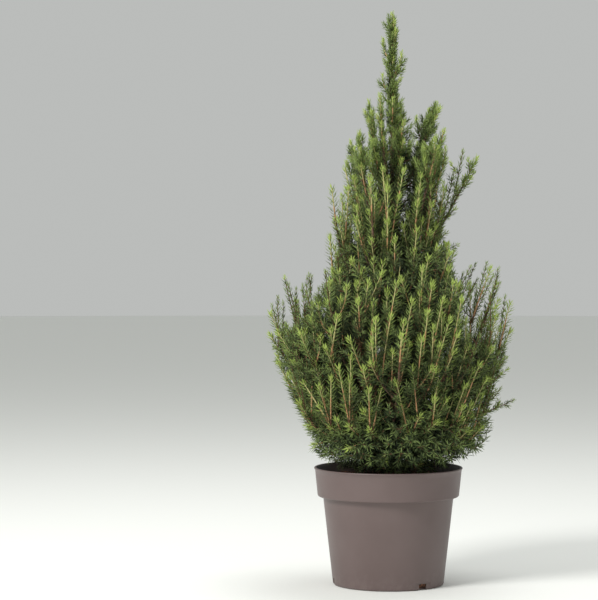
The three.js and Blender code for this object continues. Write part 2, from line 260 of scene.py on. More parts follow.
# ---------------------------------------------------------------- node trees
class Sheet:
    """A node tree being drawn: adds nodes, sets their values and joins them."""

    def __init__(self, tree: bpy.types.NodeTree) -> None:
        """Takes the tree that is drawn on."""
        self.tree = tree

    def add(self, kind: str, values: dict[str | int, object] | None = None,
            **settings: object) -> bpy.types.Node:
        """Adds a node.

        Args:
            kind: Blender's name of the node type.
            values: input sockets to set or join, by name or place.
            settings: properties of the node itself.

        Returns:
            The new node.
        """
        node = self.tree.nodes.new(kind)
        for key, value in settings.items():
            setattr(node, key, value)
        for key, value in (values or {}).items():
            self.give(node.inputs[key], value)
        return node

    def give(self, target: Socket, value: object) -> None:
        """Sets a socket to a plain value, or joins it to another socket."""
        if isinstance(value, Socket):
            self.tree.links.new(value, target)
        else:
            target.default_value = value

    def math(self, operation: str, first: object, second: object = 0.0) -> Socket:
        """The result of one sum on two numbers or sockets."""
        return self.add("ShaderNodeMath", {0: first, 1: second}, operation=operation).outputs[0]

    def place(self) -> Socket:
        """Where each point lies on the object, in metres."""
        return self.add("ShaderNodeTexCoord").outputs["Object"]

    def noise(self, vector: Socket, scale: float, detail: float = 3.0, roughness: float = 0.5) -> Socket:
        """A noise pattern's grey value, at a scale per metre."""
        return self.add("ShaderNodeTexNoise", {
            "Vector": vector, "Scale": scale, "Detail": detail, "Roughness": roughness}).outputs[0]

    def bump(self, height: Socket, strength: float, distance: float) -> Socket:
        """The normal of a surface that a grey value raises by up to a distance in metres."""
        return self.add("ShaderNodeBump", {
            "Height": height, "Strength": strength, "Distance": distance}).outputs[0]

    def attribute(self, name: str) -> Socket:
        """A number that the paths store at each point."""
        return self.add("GeometryNodeInputNamedAttribute", {"Name": name}, data_type="FLOAT").outputs[0]

    def random(self, low: float | Socket, high: float | Socket, seed: Socket) -> Socket:
        """A number between two limits that differs from copy to copy."""
        made = self.add("FunctionNodeRandomValue", {2: low, 3: high, "Seed": seed}, data_type="FLOAT")
        return made.outputs[1]

    def ramp(self, value: Socket, stops: Sequence[tuple[float, Colour]]) -> Socket:
        """A colour read from a few stops.

        Args:
            value: the grey value that picks the colour.
            stops: places from 0 to 1 and their colours.

        Returns:
            The colour socket.
        """
        node = self.add("ShaderNodeValToRGB", {0: value})
        elements = node.color_ramp.elements
        while len(elements) < len(stops):
            elements.new(0.5)
        for element, (place, colour) in zip(elements, stops):
            element.position = place
            element.color = (*colour, 1.0)
        return node.outputs[0]


@dataclass
class GeometryRecipe:
    """A Geometry Nodes tree with named inputs, run once on an object."""

    name: str
    identifiers: dict[str, str] = field(default_factory=dict)

    def __post_init__(self) -> None:
        """Makes the tree with its geometry sockets."""
        self.tree = bpy.data.node_groups.new(self.name, "GeometryNodeTree")
        for side in ("INPUT", "OUTPUT"):
            self.tree.interface.new_socket(name="Geometry", in_out=side, socket_type="NodeSocketGeometry")
        self.sheet = Sheet(self.tree)

    def declare(self, **kinds: str) -> dict[str, Socket]:
        """Adds the named inputs.

        Args:
            kinds: the socket kind of each name, such as Float, Int, Object or Material.

        Returns:
            The sockets that hand the inputs and the geometry in, by name.
        """
        for name, kind in kinds.items():
            made = self.tree.interface.new_socket(name=name, in_out="INPUT", socket_type=f"NodeSocket{kind}")
            self.identifiers[name] = made.identifier
        return {socket.name: socket for socket in self.sheet.add("NodeGroupInput").outputs if socket.name}

    def finish(self, geometry: Socket, material: Socket) -> None:
        """Ends the tree in Realize Instances and Set Material.

        Args:
            geometry: what the tree made.
            material: the material input.
        """
        real = self.sheet.add("GeometryNodeRealizeInstances", {"Geometry": geometry})
        dressed = self.sheet.add("GeometryNodeSetMaterial", {
            "Geometry": real.outputs[0], "Material": material})
        self.sheet.add("NodeGroupOutput", {0: dressed.outputs[0]})

    def run(self, source: Piece, name: str, values: dict[str, object]) -> Piece:
        """Runs the tree on an object and returns a plain mesh.

        Args:
            source: the object that carries the paths or the surface; it is used up.
            name: the name of the plain mesh object.
            values: a value for each named input.

        Returns:
            The plain mesh object, with no modifier and no leftover attributes.
        """
        modifier = source.modifiers.new(self.name, "NODES")
        modifier.node_group = self.tree
        for key, value in values.items():
            modifier[self.identifiers[key]] = value
        piece = evaluated_copy(source, name)
        for name in [a.name for a in piece.data.attributes]:
            if name not in KEPT_ATTRIBUTES and not name.startswith("."):
                piece.data.attributes.remove(piece.data.attributes[name])
        return piece


# ---------------------------------------------------------------- finishes
@dataclass(frozen=True)
class PlasticFinish:
    """Matt taupe pot plastic: a fine moulded grain, faint cloudiness and dust towards the foot."""

    name: str = "pot_plastic"
    clean: Colour = (0.139, 0.100, 0.095)
    clouded: Colour = (0.122, 0.086, 0.081)
    dusted: Colour = (0.190, 0.148, 0.138)
    cloud_scale: float = 14.0
    dust_height: float = 0.03
    most_dust: float = 0.55
    speckle_scale: float = 120.0
    rough: Pair = (0.37, 0.51)
    rough_scale: float = 40.0
    grain_scale: float = 1500.0
    grain_depth: float = 0.00008

    def build(self) -> Material:
        """Makes the material.

        Returns:
            A Principled material on Object coordinates.
        """
        material, sheet, shader = principled(self.name)
        place = sheet.place()
        cloud = sheet.noise(place, self.cloud_scale, 4.0)
        base = sheet.ramp(cloud, [(0.35, self.clouded), (0.65, self.clean)])
        height = sheet.add("ShaderNodeSeparateXYZ", {0: place}).outputs[2]
        low = sheet.add("ShaderNodeMapRange", {
            "Value": height, "From Min": self.dust_height, "From Max": 0.0,
            "To Min": 0.0, "To Max": self.most_dust}).outputs[0]
        specks = sheet.noise(place, self.speckle_scale, 5.0, 0.7)
        dust = sheet.math("MULTIPLY", low, sheet.ramp(specks, [(0.45, (0, 0, 0)), (0.7, (1, 1, 1))]))
        colour = sheet.add("ShaderNodeMix", {"Factor": dust, 6: base, 7: (*self.dusted, 1.0)},
                           data_type="RGBA")
        smooth, worn = self.rough
        rough = sheet.add("ShaderNodeMapRange", {
            "Value": sheet.noise(place, self.rough_scale), "To Min": smooth, "To Max": worn})
        grain = sheet.noise(place, self.grain_scale, 2.0, 0.6)
        sheet.give(shader.inputs["Base Color"], colour.outputs[2])
        sheet.give(shader.inputs["Roughness"], rough.outputs[0])
        sheet.give(shader.inputs["Normal"], sheet.bump(grain, 0.25, self.grain_depth))
        return material


@dataclass(frozen=True)
class CompostFinish:
    """Moist peat and bark crumbs: dark brown with redder and paler bits."""

    name: str = "compost_crumb"
    # The stops are lifted above moist peat's own colour to make up for the shade under the rim and foliage:
    # painted light.
    stops: tuple[tuple[float, Colour], ...] = (
        (0.30, (0.016, 0.009, 0.005)),
        (0.48, (0.065, 0.027, 0.014)),
        (0.60, (0.170, 0.066, 0.032)),
        (0.76, (0.290, 0.150, 0.080)),
    )
    bit_scale: float = 260.0
    crumb_scale: float = 700.0
    crumb_depth: float = 0.0008

    def build(self) -> Material:
        """Makes the material.

        Returns:
            A Principled material on Object coordinates.
        """
        material, sheet, shader = principled(self.name)
        shader.inputs["Roughness"].default_value = 0.9
        place = sheet.place()
        bits = sheet.noise(place, self.bit_scale, 4.0, 0.6)
        crumbs = sheet.noise(place, self.crumb_scale, 4.0, 0.7)
        sheet.give(shader.inputs["Base Color"], sheet.ramp(bits, self.stops))
        sheet.give(shader.inputs["Normal"], sheet.bump(crumbs, 0.6, self.crumb_depth))
        return material


@dataclass(frozen=True)
class BarkFinish:
    """Young spruce bark: red-brown scales with greyer edges and fine cracks along the limb."""

    name: str = "spruce_bark"
    crack: Colour = (0.030, 0.017, 0.011)
    scale: Colour = (0.120, 0.066, 0.040)
    edge: Colour = (0.220, 0.140, 0.092)
    cracks_per_metre: float = 210.0
    stretch: float = 0.35
    crack_depth: float = 0.0009

    def build(self) -> Material:
        """Makes the material.

        Returns:
            A Principled material on Object coordinates, stretched along Z.
        """
        material, sheet, shader = principled(self.name)
        shader.inputs["Roughness"].default_value = 0.82
        drawn = sheet.add("ShaderNodeMapping", {
            "Vector": sheet.place(), "Scale": (1.0, 1.0, self.stretch)}).outputs[0]
        fibres = sheet.noise(drawn, self.cracks_per_metre, 6.0, 0.65)
        sheet.give(shader.inputs["Base Color"],
                   sheet.ramp(fibres, [(0.34, self.crack), (0.52, self.scale), (0.70, self.edge)]))
        sheet.give(shader.inputs["Normal"], sheet.bump(fibres, 0.8, self.crack_depth))
        return material


@dataclass(frozen=True)
class PlainFinish:
    """One plain colour of the needles or twigs, dealt out by spray."""

    name: str
    colour: Colour
    roughness: float = 0.5
    shine: float = 0.2

    def build(self) -> Material:
        """Makes the material.

        Returns:
            A Principled material with nothing joined to it.
        """
        material, _, shader = principled(self.name)
        shader.inputs["Base Color"].default_value = (*self.colour, 1.0)
        shader.inputs["Roughness"].default_value = self.roughness
        shader.inputs["Specular IOR Level"].default_value = self.shine
        material.diffuse_color = (*self.colour, 1.0)
        return material


def principled(name: str) -> tuple[Material, Sheet, bpy.types.Node]:
    """Starts a material.

    Args:
        name: the material's name.

    Returns:
        The material, its node sheet and its Principled shader.
    """
    material = bpy.data.materials.new(name)
    material.use_nodes = True
    shader = material.node_tree.nodes["Principled BSDF"]
    return material, Sheet(material.node_tree), shader


class NeedleTone(Enum):
    """Plain needle colours, from a fresh tip to dead needles inside the crown. DEEP and SHADE darken needles
    inside the crown: painted shade, with some of the real darker green of older needles.
    """

    TIP = (0.380, 0.490, 0.116)
    FRESH = (0.240, 0.320, 0.088)
    LEAF = (0.175, 0.237, 0.073)
    GREEN = (0.102, 0.142, 0.049)
    DEEP = (0.035, 0.052, 0.022)
    SHADE = (0.017, 0.026, 0.012)
    DEAD = (0.160, 0.095, 0.045)


class Spray(Enum):
    """How needles stand on a stretch of shoot: millimetres between, degrees from the stem, width."""

    OPEN = (1.3, 60.0, 1.0)
    FILL = (1.15, 57.0, 1.0)
    CLOSE = (0.8, 50.0, 1.2)
    PLUME = (0.68, 49.0, 1.45)
    CLUSTER = (0.75, 50.0, 1.45)


class TwigTone(Enum):
    """Plain twig colours: pale green at the tips, salmon tan below, old red-brown wood."""

    PALE = (0.560, 0.500, 0.230)
    TAN = (0.580, 0.320, 0.165)
    GREEN = (0.095, 0.108, 0.040)
    BROWN = (0.145, 0.070, 0.043)


# ---------------------------------------------------------------- the pot
@dataclass
class Pot:
    """The round nursery pot: tapered wall, wide rim band with a beaded lip, three foot drains."""

    height: float = 166.0
    rim_radius: float = 105.0
    band_foot_radius: float = 100.5
    band_height: float = 41.0
    shoulder_radius: float = 92.5
    foot_radius: float = 79.0
    edge: float = 3.0
    wall: float = 2.0
    lip: float = 2.6
    sides: int = 192
    drain_count: int = 3
    first_drain: float = -52.0
    drain_width: float = 13.0
    drain_depth: float = 7.0
    drain_height: float = 8.5
    recess_width: float = 27.0
    recess_depth: float = 1.2
    middle_disc: float = 24.0
    standing_ring: float = 11.0
    hollow: float = 0.5
    under_band: float = 0.9
    band_round: float = 2.4
    bead: float = 0.9
    inner_round: float = 0.8
    sharp_angle: float = 40.0

    @property
    def band_foot(self) -> float:
        """Height of the rim band's lower edge."""
        return self.height - self.band_height

    def arc(self, centre: Pair, radius: float, start: float, end: float,
            steps: int = 5) -> list[Pair]:
        """Points of a round corner in the wall's section.

        Args:
            centre: the arc's centre (radius from the axis, height).
            radius: the arc's radius.
            start: first angle in degrees, 0 being outwards.
            end: last angle in degrees.
            steps: stretches along the arc.

        Returns:
            The points, from start to end.
        """
        angles = [math.radians(lerp(start, end, i / steps)) for i in range(steps + 1)]
        return [(centre[0] + radius * math.cos(a), centre[1] + radius * math.sin(a)) for a in angles]

    def section(self) -> list[Pair]:
        """The wall's section as (radius, height), from the underside's middle to the inside's."""
        foot, edge, wall, lip = self.foot_radius, self.edge, self.wall, self.lip
        top, low, ring = self.height, self.band_foot, foot - self.standing_ring
        corner, round_by, inner = self.under_band, self.band_round, self.inner_round
        outside = [(self.middle_disc, 0.0), (self.middle_disc + 2.0, self.hollow)]
        outside += [(ring - 2.0, self.hollow), (ring, 0.0)]
        outside += self.arc((foot - edge, edge), edge, -90, -5)
        outside += [(lerp(foot, self.shoulder_radius, i / 8), lerp(edge + 1, low - 1.2, i / 8))
                    for i in range(9)]
        outside += self.arc((self.shoulder_radius + 1.0, low - corner), corner, 180, 90, 3)
        outside += self.arc((self.band_foot_radius - round_by, low + round_by), round_by, -90, 0)
        outside += [(lerp(self.band_foot_radius, self.rim_radius - self.bead, i / 6),
                     lerp(low + 2.8, top - lip - 0.5, i / 6)) for i in range(7)]
        outside += self.arc((self.rim_radius - self.bead, top - lip / 2), lip / 2, -60, 90, 7)
        inner_top = self.rim_radius - wall - 0.5
        inside = self.arc((inner_top + inner, top - inner), inner, 90, 180, 3)
        inside += [(self.band_foot_radius - wall, low + wall + 1.6), (self.shoulder_radius - wall, low + 0.2)]
        inside += [(foot - wall, edge + wall), (foot - edge - wall, wall)]
        return outside + inside

    def cutter(self, width: float, depth: float, height: float, round_by: float) -> Piece:
        """A box with rounded upright edges that cuts all drains at once.

        Args:
            width: size along the wall.
            depth: how far it reaches in from the foot's radius.
            height: how high it reaches.
            round_by: rounding of its edges.

        Returns:
            The cutting object: one box at each drain.
        """
        work = bmesh.new()
        for i in range(self.drain_count):
            angle = math.radians(self.first_drain - 360.0 * i / self.drain_count)
            made = bmesh.ops.create_cube(work, size=1.0)["verts"]
            size = Matrix.Diagonal((2 * depth * MM, width * MM, 2 * height * MM, 1.0))
            place = Matrix.Rotation(angle, 4, "Z") @ Matrix.Translation((self.foot_radius * MM, 0, 0))
            bmesh.ops.transform(work, matrix=place @ size, verts=made)
        bmesh.ops.bevel(work, geom=list(work.edges), offset=round_by * MM, segments=2, affect="EDGES",
                        profile=0.5)
        return from_work("drain_cutter", work)

    def build(self) -> Piece:
        """Makes the pot with its drains cut.

        Returns:
            The finished pot.
        """
        skin = closed_skin(lathe_rings(self.section(), self.sides), (0.0, 0.0, 0.0), (0.0, 0.0, self.wall))
        body = mesh_object("pot_body", *skin)
        tools = [
            self.cutter(self.recess_width, self.recess_depth, self.drain_height + 1.5, 0.5),
            self.cutter(self.drain_width, self.drain_depth, self.drain_height, 0.8),
        ]
        for tool in tools:
            cut = body.modifiers.new("drain", "BOOLEAN")
            cut.operation = "DIFFERENCE"
            cut.solver = "EXACT"
            cut.object = tool
        piece = evaluated_copy(body, "pot_shell")
        for tool in tools:
            bpy.data.objects.remove(tool)
        piece.data.set_sharp_from_angle(angle=math.radians(self.sharp_angle))
        return piece

    def dress(self) -> None:
        """Builds the pot, gives it its finish and hands it in."""
        hand_in(self.build(), ["pot"], PlasticFinish().build())


# ---------------------------------------------------------------- the compost
@dataclass
class Compost:
    """The fill of the pot: a lumpy crumbed top with loose bark bits scattered over it."""

    pot: Pot
    top: float = 150.0
    mound: float = 5.0
    lumps: float = 1.8
    flat_radius: float = 19.0
    rise_radius: float = 96.0
    gap: float = 0.3
    rings: int = 44
    top_rings: int = 24
    sides: int = 120
    crumbs_per_m2: float = 60000.0
    chips_per_m2: float = 9000.0
    seed: int = 23

    def surface(self, x: Array, y: Array) -> Array:
        """Height of the top, with the source's long waves and finer crumbs on them.

        Args:
            x: places across, in millimetres.
            y: places along, in millimetres.

        Returns:
            Heights in millimetres.
        """
        r = np.hypot(x, y)
        rise = self.mound * (1 - smoothstep(r, self.flat_radius, self.rise_radius))
        wave = np.sin(0.13 * x + 0.7) * np.cos(0.11 * y) + np.sin(0.21 * y - 0.17 * x)
        fine = np.sin(0.9 * x + 1.3 * np.sin(0.7 * y)) * np.sin(0.8 * y + 1.1 * np.sin(0.6 * x))
        return self.top + rise + 0.6 * self.lumps * wave * smoothstep(r, 16.0, 24.0) + 0.7 * fine

    @property
    def edge(self) -> float:
        """Radius of the top, just inside the pot's wall."""
        pot = self.pot
        outside = lerp(pot.band_foot_radius, pot.rim_radius, (self.top - pot.band_foot) / pot.band_height)
        return outside - pot.wall - 0.7

    def ring(self, radius: float) -> Array:
        """A ring of points on the top surface."""
        flat = circle(self.sides)[:, :2] * radius
        return np.column_stack([flat, self.surface(flat[:, 0], flat[:, 1])])

    def body(self) -> Piece:
        """Makes the closed fill with its lumpy top.

        Returns:
            The fill.
        """
        pot, edge = self.pot, self.edge
        side = [
            (pot.foot_radius - pot.edge - pot.wall - 1, pot.wall + self.gap),
            (pot.foot_radius - pot.wall - 0.6, pot.edge + pot.wall + 1),
            (pot.shoulder_radius - pot.wall - 0.6, pot.band_foot + 0.8),
            (edge - 3.2, pot.band_foot + 5.5),
        ]
        rows = lathe_rings(side, self.sides)
        rows += [self.ring(edge * (1 - i / self.rings)) for i in range(self.rings)]
        middle = float(self.surface(np.zeros(1), np.zeros(1))[0])
        skin = closed_skin(rows, (0.0, 0.0, pot.wall + self.gap), (0.0, 0.0, middle))
        return mesh_object("compost_fill", *skin)

    def top_disc(self, radius: float) -> Piece:
        """The top surface alone, out to a radius, as the ground that bits are strewn on."""
        rows = [self.ring(radius * share) for share in np.linspace(1.0, 0.04, self.top_rings)]
        return mesh_object("compost_top", np.concatenate(rows), grid_faces(len(rows), self.sides))

    def chip(self, name: str, flatness: float) -> Piece:
        """One rough crumb of a few faces, about one unit across.

        Args:
            name: its name.
            flatness: its thickness as a share of its width.

        Returns:
            A template object that the scattering copies.
        """
        work = bmesh.new()
        bmesh.ops.create_icosphere(work, subdivisions=1, radius=0.5)
        next_number = Stream(self.seed)
        for vert in work.verts:
            vert.co *= 0.75 + 0.5 * next_number()
            vert.co.z *= flatness
        return from_work(name, work)

    def scatter_recipe(self) -> GeometryRecipe:
        """The tree that strews copies of a crumb over the top.

        Returns:
            The recipe, with the inputs Crumb, Density, Smallest, Largest, Seed and Finish.
        """
        recipe = GeometryRecipe("strew_crumbs")
        given = recipe.declare(Crumb="Object", Density="Float", Smallest="Float", Largest="Float", Seed="Int",
                               Finish="Material")
        sheet = recipe.sheet
        spread = sheet.add("GeometryNodeDistributePointsOnFaces", {
            "Mesh": given["Geometry"], "Density": given["Density"], "Seed": given["Seed"]})
        turn = sheet.add("FunctionNodeRandomValue", {"Max": (6.28, 6.28, 6.28), "Seed": given["Seed"]},
                         data_type="FLOAT_VECTOR")
        angle = sheet.add("FunctionNodeEulerToRotation", {0: turn.outputs[0]})
        size = sheet.random(given["Smallest"], given["Largest"], given["Seed"])
        crumb = sheet.add("GeometryNodeObjectInfo", {"Object": given["Crumb"]})
        laid = sheet.add("GeometryNodeInstanceOnPoints", {
            "Points": spread.outputs["Points"], "Instance": crumb.outputs["Geometry"],
            "Rotation": angle.outputs[0], "Scale": size})
        recipe.finish(laid.outputs[0], given["Finish"])
        return recipe

    def strewn(self, name: str, flatness: float, density: float, sizes: Pair, seed: int,
               finish: Material) -> Piece:
        """Strews one kind of bit over the top.

        Args:
            name: the new piece's name.
            flatness: thickness of a bit as a share of its width.
            density: bits per square metre.
            sizes: smallest and largest bit in millimetres.
            seed: the seed of their places.
            finish: their material.

        Returns:
            The joined bits as one plain mesh.
        """
        crumb = self.chip(name + "_bit", flatness)
        ground = self.top_disc(self.edge - 0.55 * sizes[1])
        piece = self.scatter_recipe().run(ground, name, {
            "Crumb": crumb, "Density": density, "Smallest": sizes[0] * MM, "Largest": sizes[1] * MM,
            "Seed": seed, "Finish": finish})
        bpy.data.objects.remove(crumb)
        return piece

    def dress(self) -> None:
        """Builds the fill and its loose bits, and hands them in."""
        finish = CompostFinish().build()
        fill = self.body()
        crumbs = self.strewn("compost_crumbs", 0.7, self.crumbs_per_m2, (1.2, 3.4), self.seed, finish)
        chips = self.strewn("compost_chips", 0.3, self.chips_per_m2, (4.0, 8.0), self.seed + 5, finish)
        hand_in(fill, ["compost"], finish)
        hand_in(crumbs, ["compost"])
        hand_in(chips, ["compost"])


# ---------------------------------------------------------------- lines that limbs follow
class Line:
    """A smooth curve held as evenly spaced points and read by share of its length."""

    def __init__(self, points: Array) -> None:
        """Spaces the given points evenly.

        Args:
            points: points along the curve, one row each.
        """
        steps = np.linalg.norm(np.diff(points, axis=0), axis=1)
        along = np.concatenate([[0.0], np.cumsum(steps)])
        self.length = float(along[-1])
        places = np.linspace(0.0, self.length, len(points))
        self.points = np.stack([np.interp(places, along, points[:, i]) for i in range(3)], 1)

    @classmethod
    def bend(cls, start: Array, turn: Array, end: Array, samples: int = 33) -> "Line":
        """A quadratic Bezier curve.

        Args:
            start: where it begins.
            turn: its control point.
            end: where it ends.
            samples: points along it.

        Returns:
            The curve.
        """
        t = np.linspace(0.0, 1.0, samples)[:, None]
        return cls((1 - t) ** 2 * start + 2 * t * (1 - t) * turn + t * t * end)

    def at(self, share: float | Array) -> Array:
        """The point or points at a share of the length."""
        place = np.clip(share, 0.0, 1.0) * (len(self.points) - 1)
        low = np.minimum(np.floor(place).astype(int), len(self.points) - 2)
        part = np.asarray(place - low)[..., None]
        return self.points[low] * (1 - part) + self.points[low + 1] * part

    def part(self, start: float, end: float, count: int) -> Array:
        """Evenly spaced points between two shares of the length."""
        return self.at(np.linspace(start, end, count))

    def frames(self, steps: int) -> tuple[Array, Array, Array]:
        """Directions carried along the curve without twist.

        Args:
            steps: stretches between the places.

        Returns:
            Normals, binormals and tangents, one row for each place.
        """
        shares = np.linspace(0.0, 1.0, steps + 1)
        tangents = self.at(np.minimum(shares + 1e-3, 1.0)) - self.at(np.maximum(shares - 1e-3, 0.0))
        tangents /= np.linalg.norm(tangents, axis=1)[:, None]
        axis = np.zeros(3)
        axis[2 - int(np.argmin(np.abs(tangents[0])[::-1]))] = 1.0
        normals = [np.cross(tangents[0], unit(np.cross(tangents[0], axis)))]
        for before, after in zip(tangents, tangents[1:]):
            hinge = np.cross(before, after)
            normal = normals[-1]
            if np.linalg.norm(hinge) > 1e-9:
                angle = math.acos(float(np.clip(before @ after, -1.0, 1.0)))
                hinge = unit(hinge)
                normal = (normal * math.cos(angle) + np.cross(hinge, normal) * math.sin(angle)
                          + hinge * (hinge @ normal) * (1 - math.cos(angle)))
            normals.append(normal)
        rows = np.array(normals)
        return rows, np.cross(tangents, rows), tangents


@dataclass
class Trunk:
    """The stem that runs up through the crown, with its lean, taper and root flare."""

    ground: float = 155.0
    foot_radius: float = 8.6
    flare_radius: float = 13.5
    flare_height: float = 17.0
    top_radius: float = 2.6
    top: float = 618.0
    lean_x: float = 5.0
    lean_y: float = -3.0
    bow: float = 4.0
    samples: int = 24

    def point(self, z: float) -> Array:
        """The stem's middle at a height."""
        share = (z - self.ground) / (self.top - self.ground)
        bow = self.bow * math.sin(math.pi * share) * math.cos(2.2 * share)
        return np.array((self.lean_x * share - bow, self.lean_y * share + 0.5 * bow, z))

    def radius(self, z: float | Array) -> float | Array:
        """The stem's radius at a height, without the root flare."""
        share = np.clip((np.asarray(z, float) - self.ground) / (self.top - self.ground), 0.0, 1.0)
        return self.foot_radius + (self.top_radius - self.foot_radius) * share ** 0.85

    def line(self) -> Array:
        """Points up the stem's middle."""
        return np.array([self.point(lerp(self.ground, self.top, i / (self.samples - 1)))
                         for i in range(self.samples)])


# ---------------------------------------------------------------- the growing rule
@dataclass(frozen=True)
class Tier:
    """One tier of boughs, with the sizes that the part's source gives it.

    foot is its height on the trunk, reach how far out the tips stand, top their height, bow and
    lift where a bough turns up, enter the bare share of its length, fat the thickness of its
    foliage, shoots and shoot_length the side shoots on each bough, rise how much those bend up,
    and forks the pairs of lesser limbs that run beside it.
    """

    name: str
    foot: float
    count: int
    phase: float
    reach: float
    top: float
    bow: float
    lift: float
    enter: float
    fat: float
    shoots: int
    shoot_length: float
    rise: float
    forks: int = 0


TIERS = (
    Tier("skirt", 177, 7, 39, 128, 222, 0.60, 0.50, 0.00, 25, 3, 56, 0.20, 2),
    Tier("outer", 190, 7, 13, 172, 368, 0.70, 0.28, 0.24, 33, 4, 76, 0.60, 2),
    Tier("shoulder", 216, 6, 0, 156, 442, 0.82, 0.30, 0.26, 29, 4, 80, 0.62, 2),
    Tier("middle", 256, 5, 54, 86, 484, 0.90, 0.24, 0.00, 27, 2, 78, 0.62, 1),
    Tier("waist", 330, 5, 36, 84, 558, 0.82, 0.30, 0.00, 23, 3, 74, 0.60, 1),
    Tier("upper", 430, 4, 50, 76, 636, 0.74, 0.30, 0.00, 20, 3, 66, 0.60, 1),
    Tier("inner", 482, 3, 64, 28, 652, 0.60, 0.30, 0.00, 18, 2, 60, 0.60),
    Tier("spire", 540, 3, 4, 56, 690, 0.74, 0.30, 0.00, 14, 3, 52, 0.60, 1),
)
STRAYS = (
    Tier("stray_right", 392, 1, 356, 124, 604, 0.50, 0.40, 0.00, 0, 3, 52, 0.60),
    Tier("stray_low", 204, 1, 347, 180, 264, 0.60, 0.40, 0.00, 0, 3, 50, 0.20),
)
LEADER = Tier("leader", 618.3, 1, 0, 0, 808, 0.0, 0.0, 0.00, 13, 6, 44, 0.60)
SOURCE_SEED = 4179


@dataclass
class Bough:
    """One bough or fork: its tier, its own line from foot to tip, its seed and its space."""

    name: str
    tier: Tier
    line: Line
    seed: int
    place: int = 0
    foot: float = 0.0
    tip: float = 1.2

    def __post_init__(self) -> None:
        """Sets the bough's directions, which many shoots read."""
        self.frames = self.line.frames(60)

    def stem_radius(self, share: float | Array) -> float | Array:
        """The bough's radius at a share of its length."""
        return self.foot + (self.tip - self.foot) * np.asarray(share, float)


class Order(Enum):
    """How a shoot stands on the plant."""

    END = "end of a bough"
    BRANCHLET = "side shoot of a bough"
    TWIG = "side shoot of a branchlet"


ByOrder = dict[Order, float]


def by_order(end: float, branchlet: float, twig: float) -> ByOrder:
    """A class's own default with one number for each order."""
    return field(default_factory=lambda: dict(zip(Order, (end, branchlet, twig))))


@dataclass
class Shoot:
    """One shoot that bears needles, from its foot to its bud."""

    line: Line
    order: Order
    bough: Bough
    bare: float
    chance: float
    exposure: float = 1.0
    sparse: bool = False

    @property
    def tip(self) -> Array:
        """The shoot's tip."""
        return self.line.points[-1]


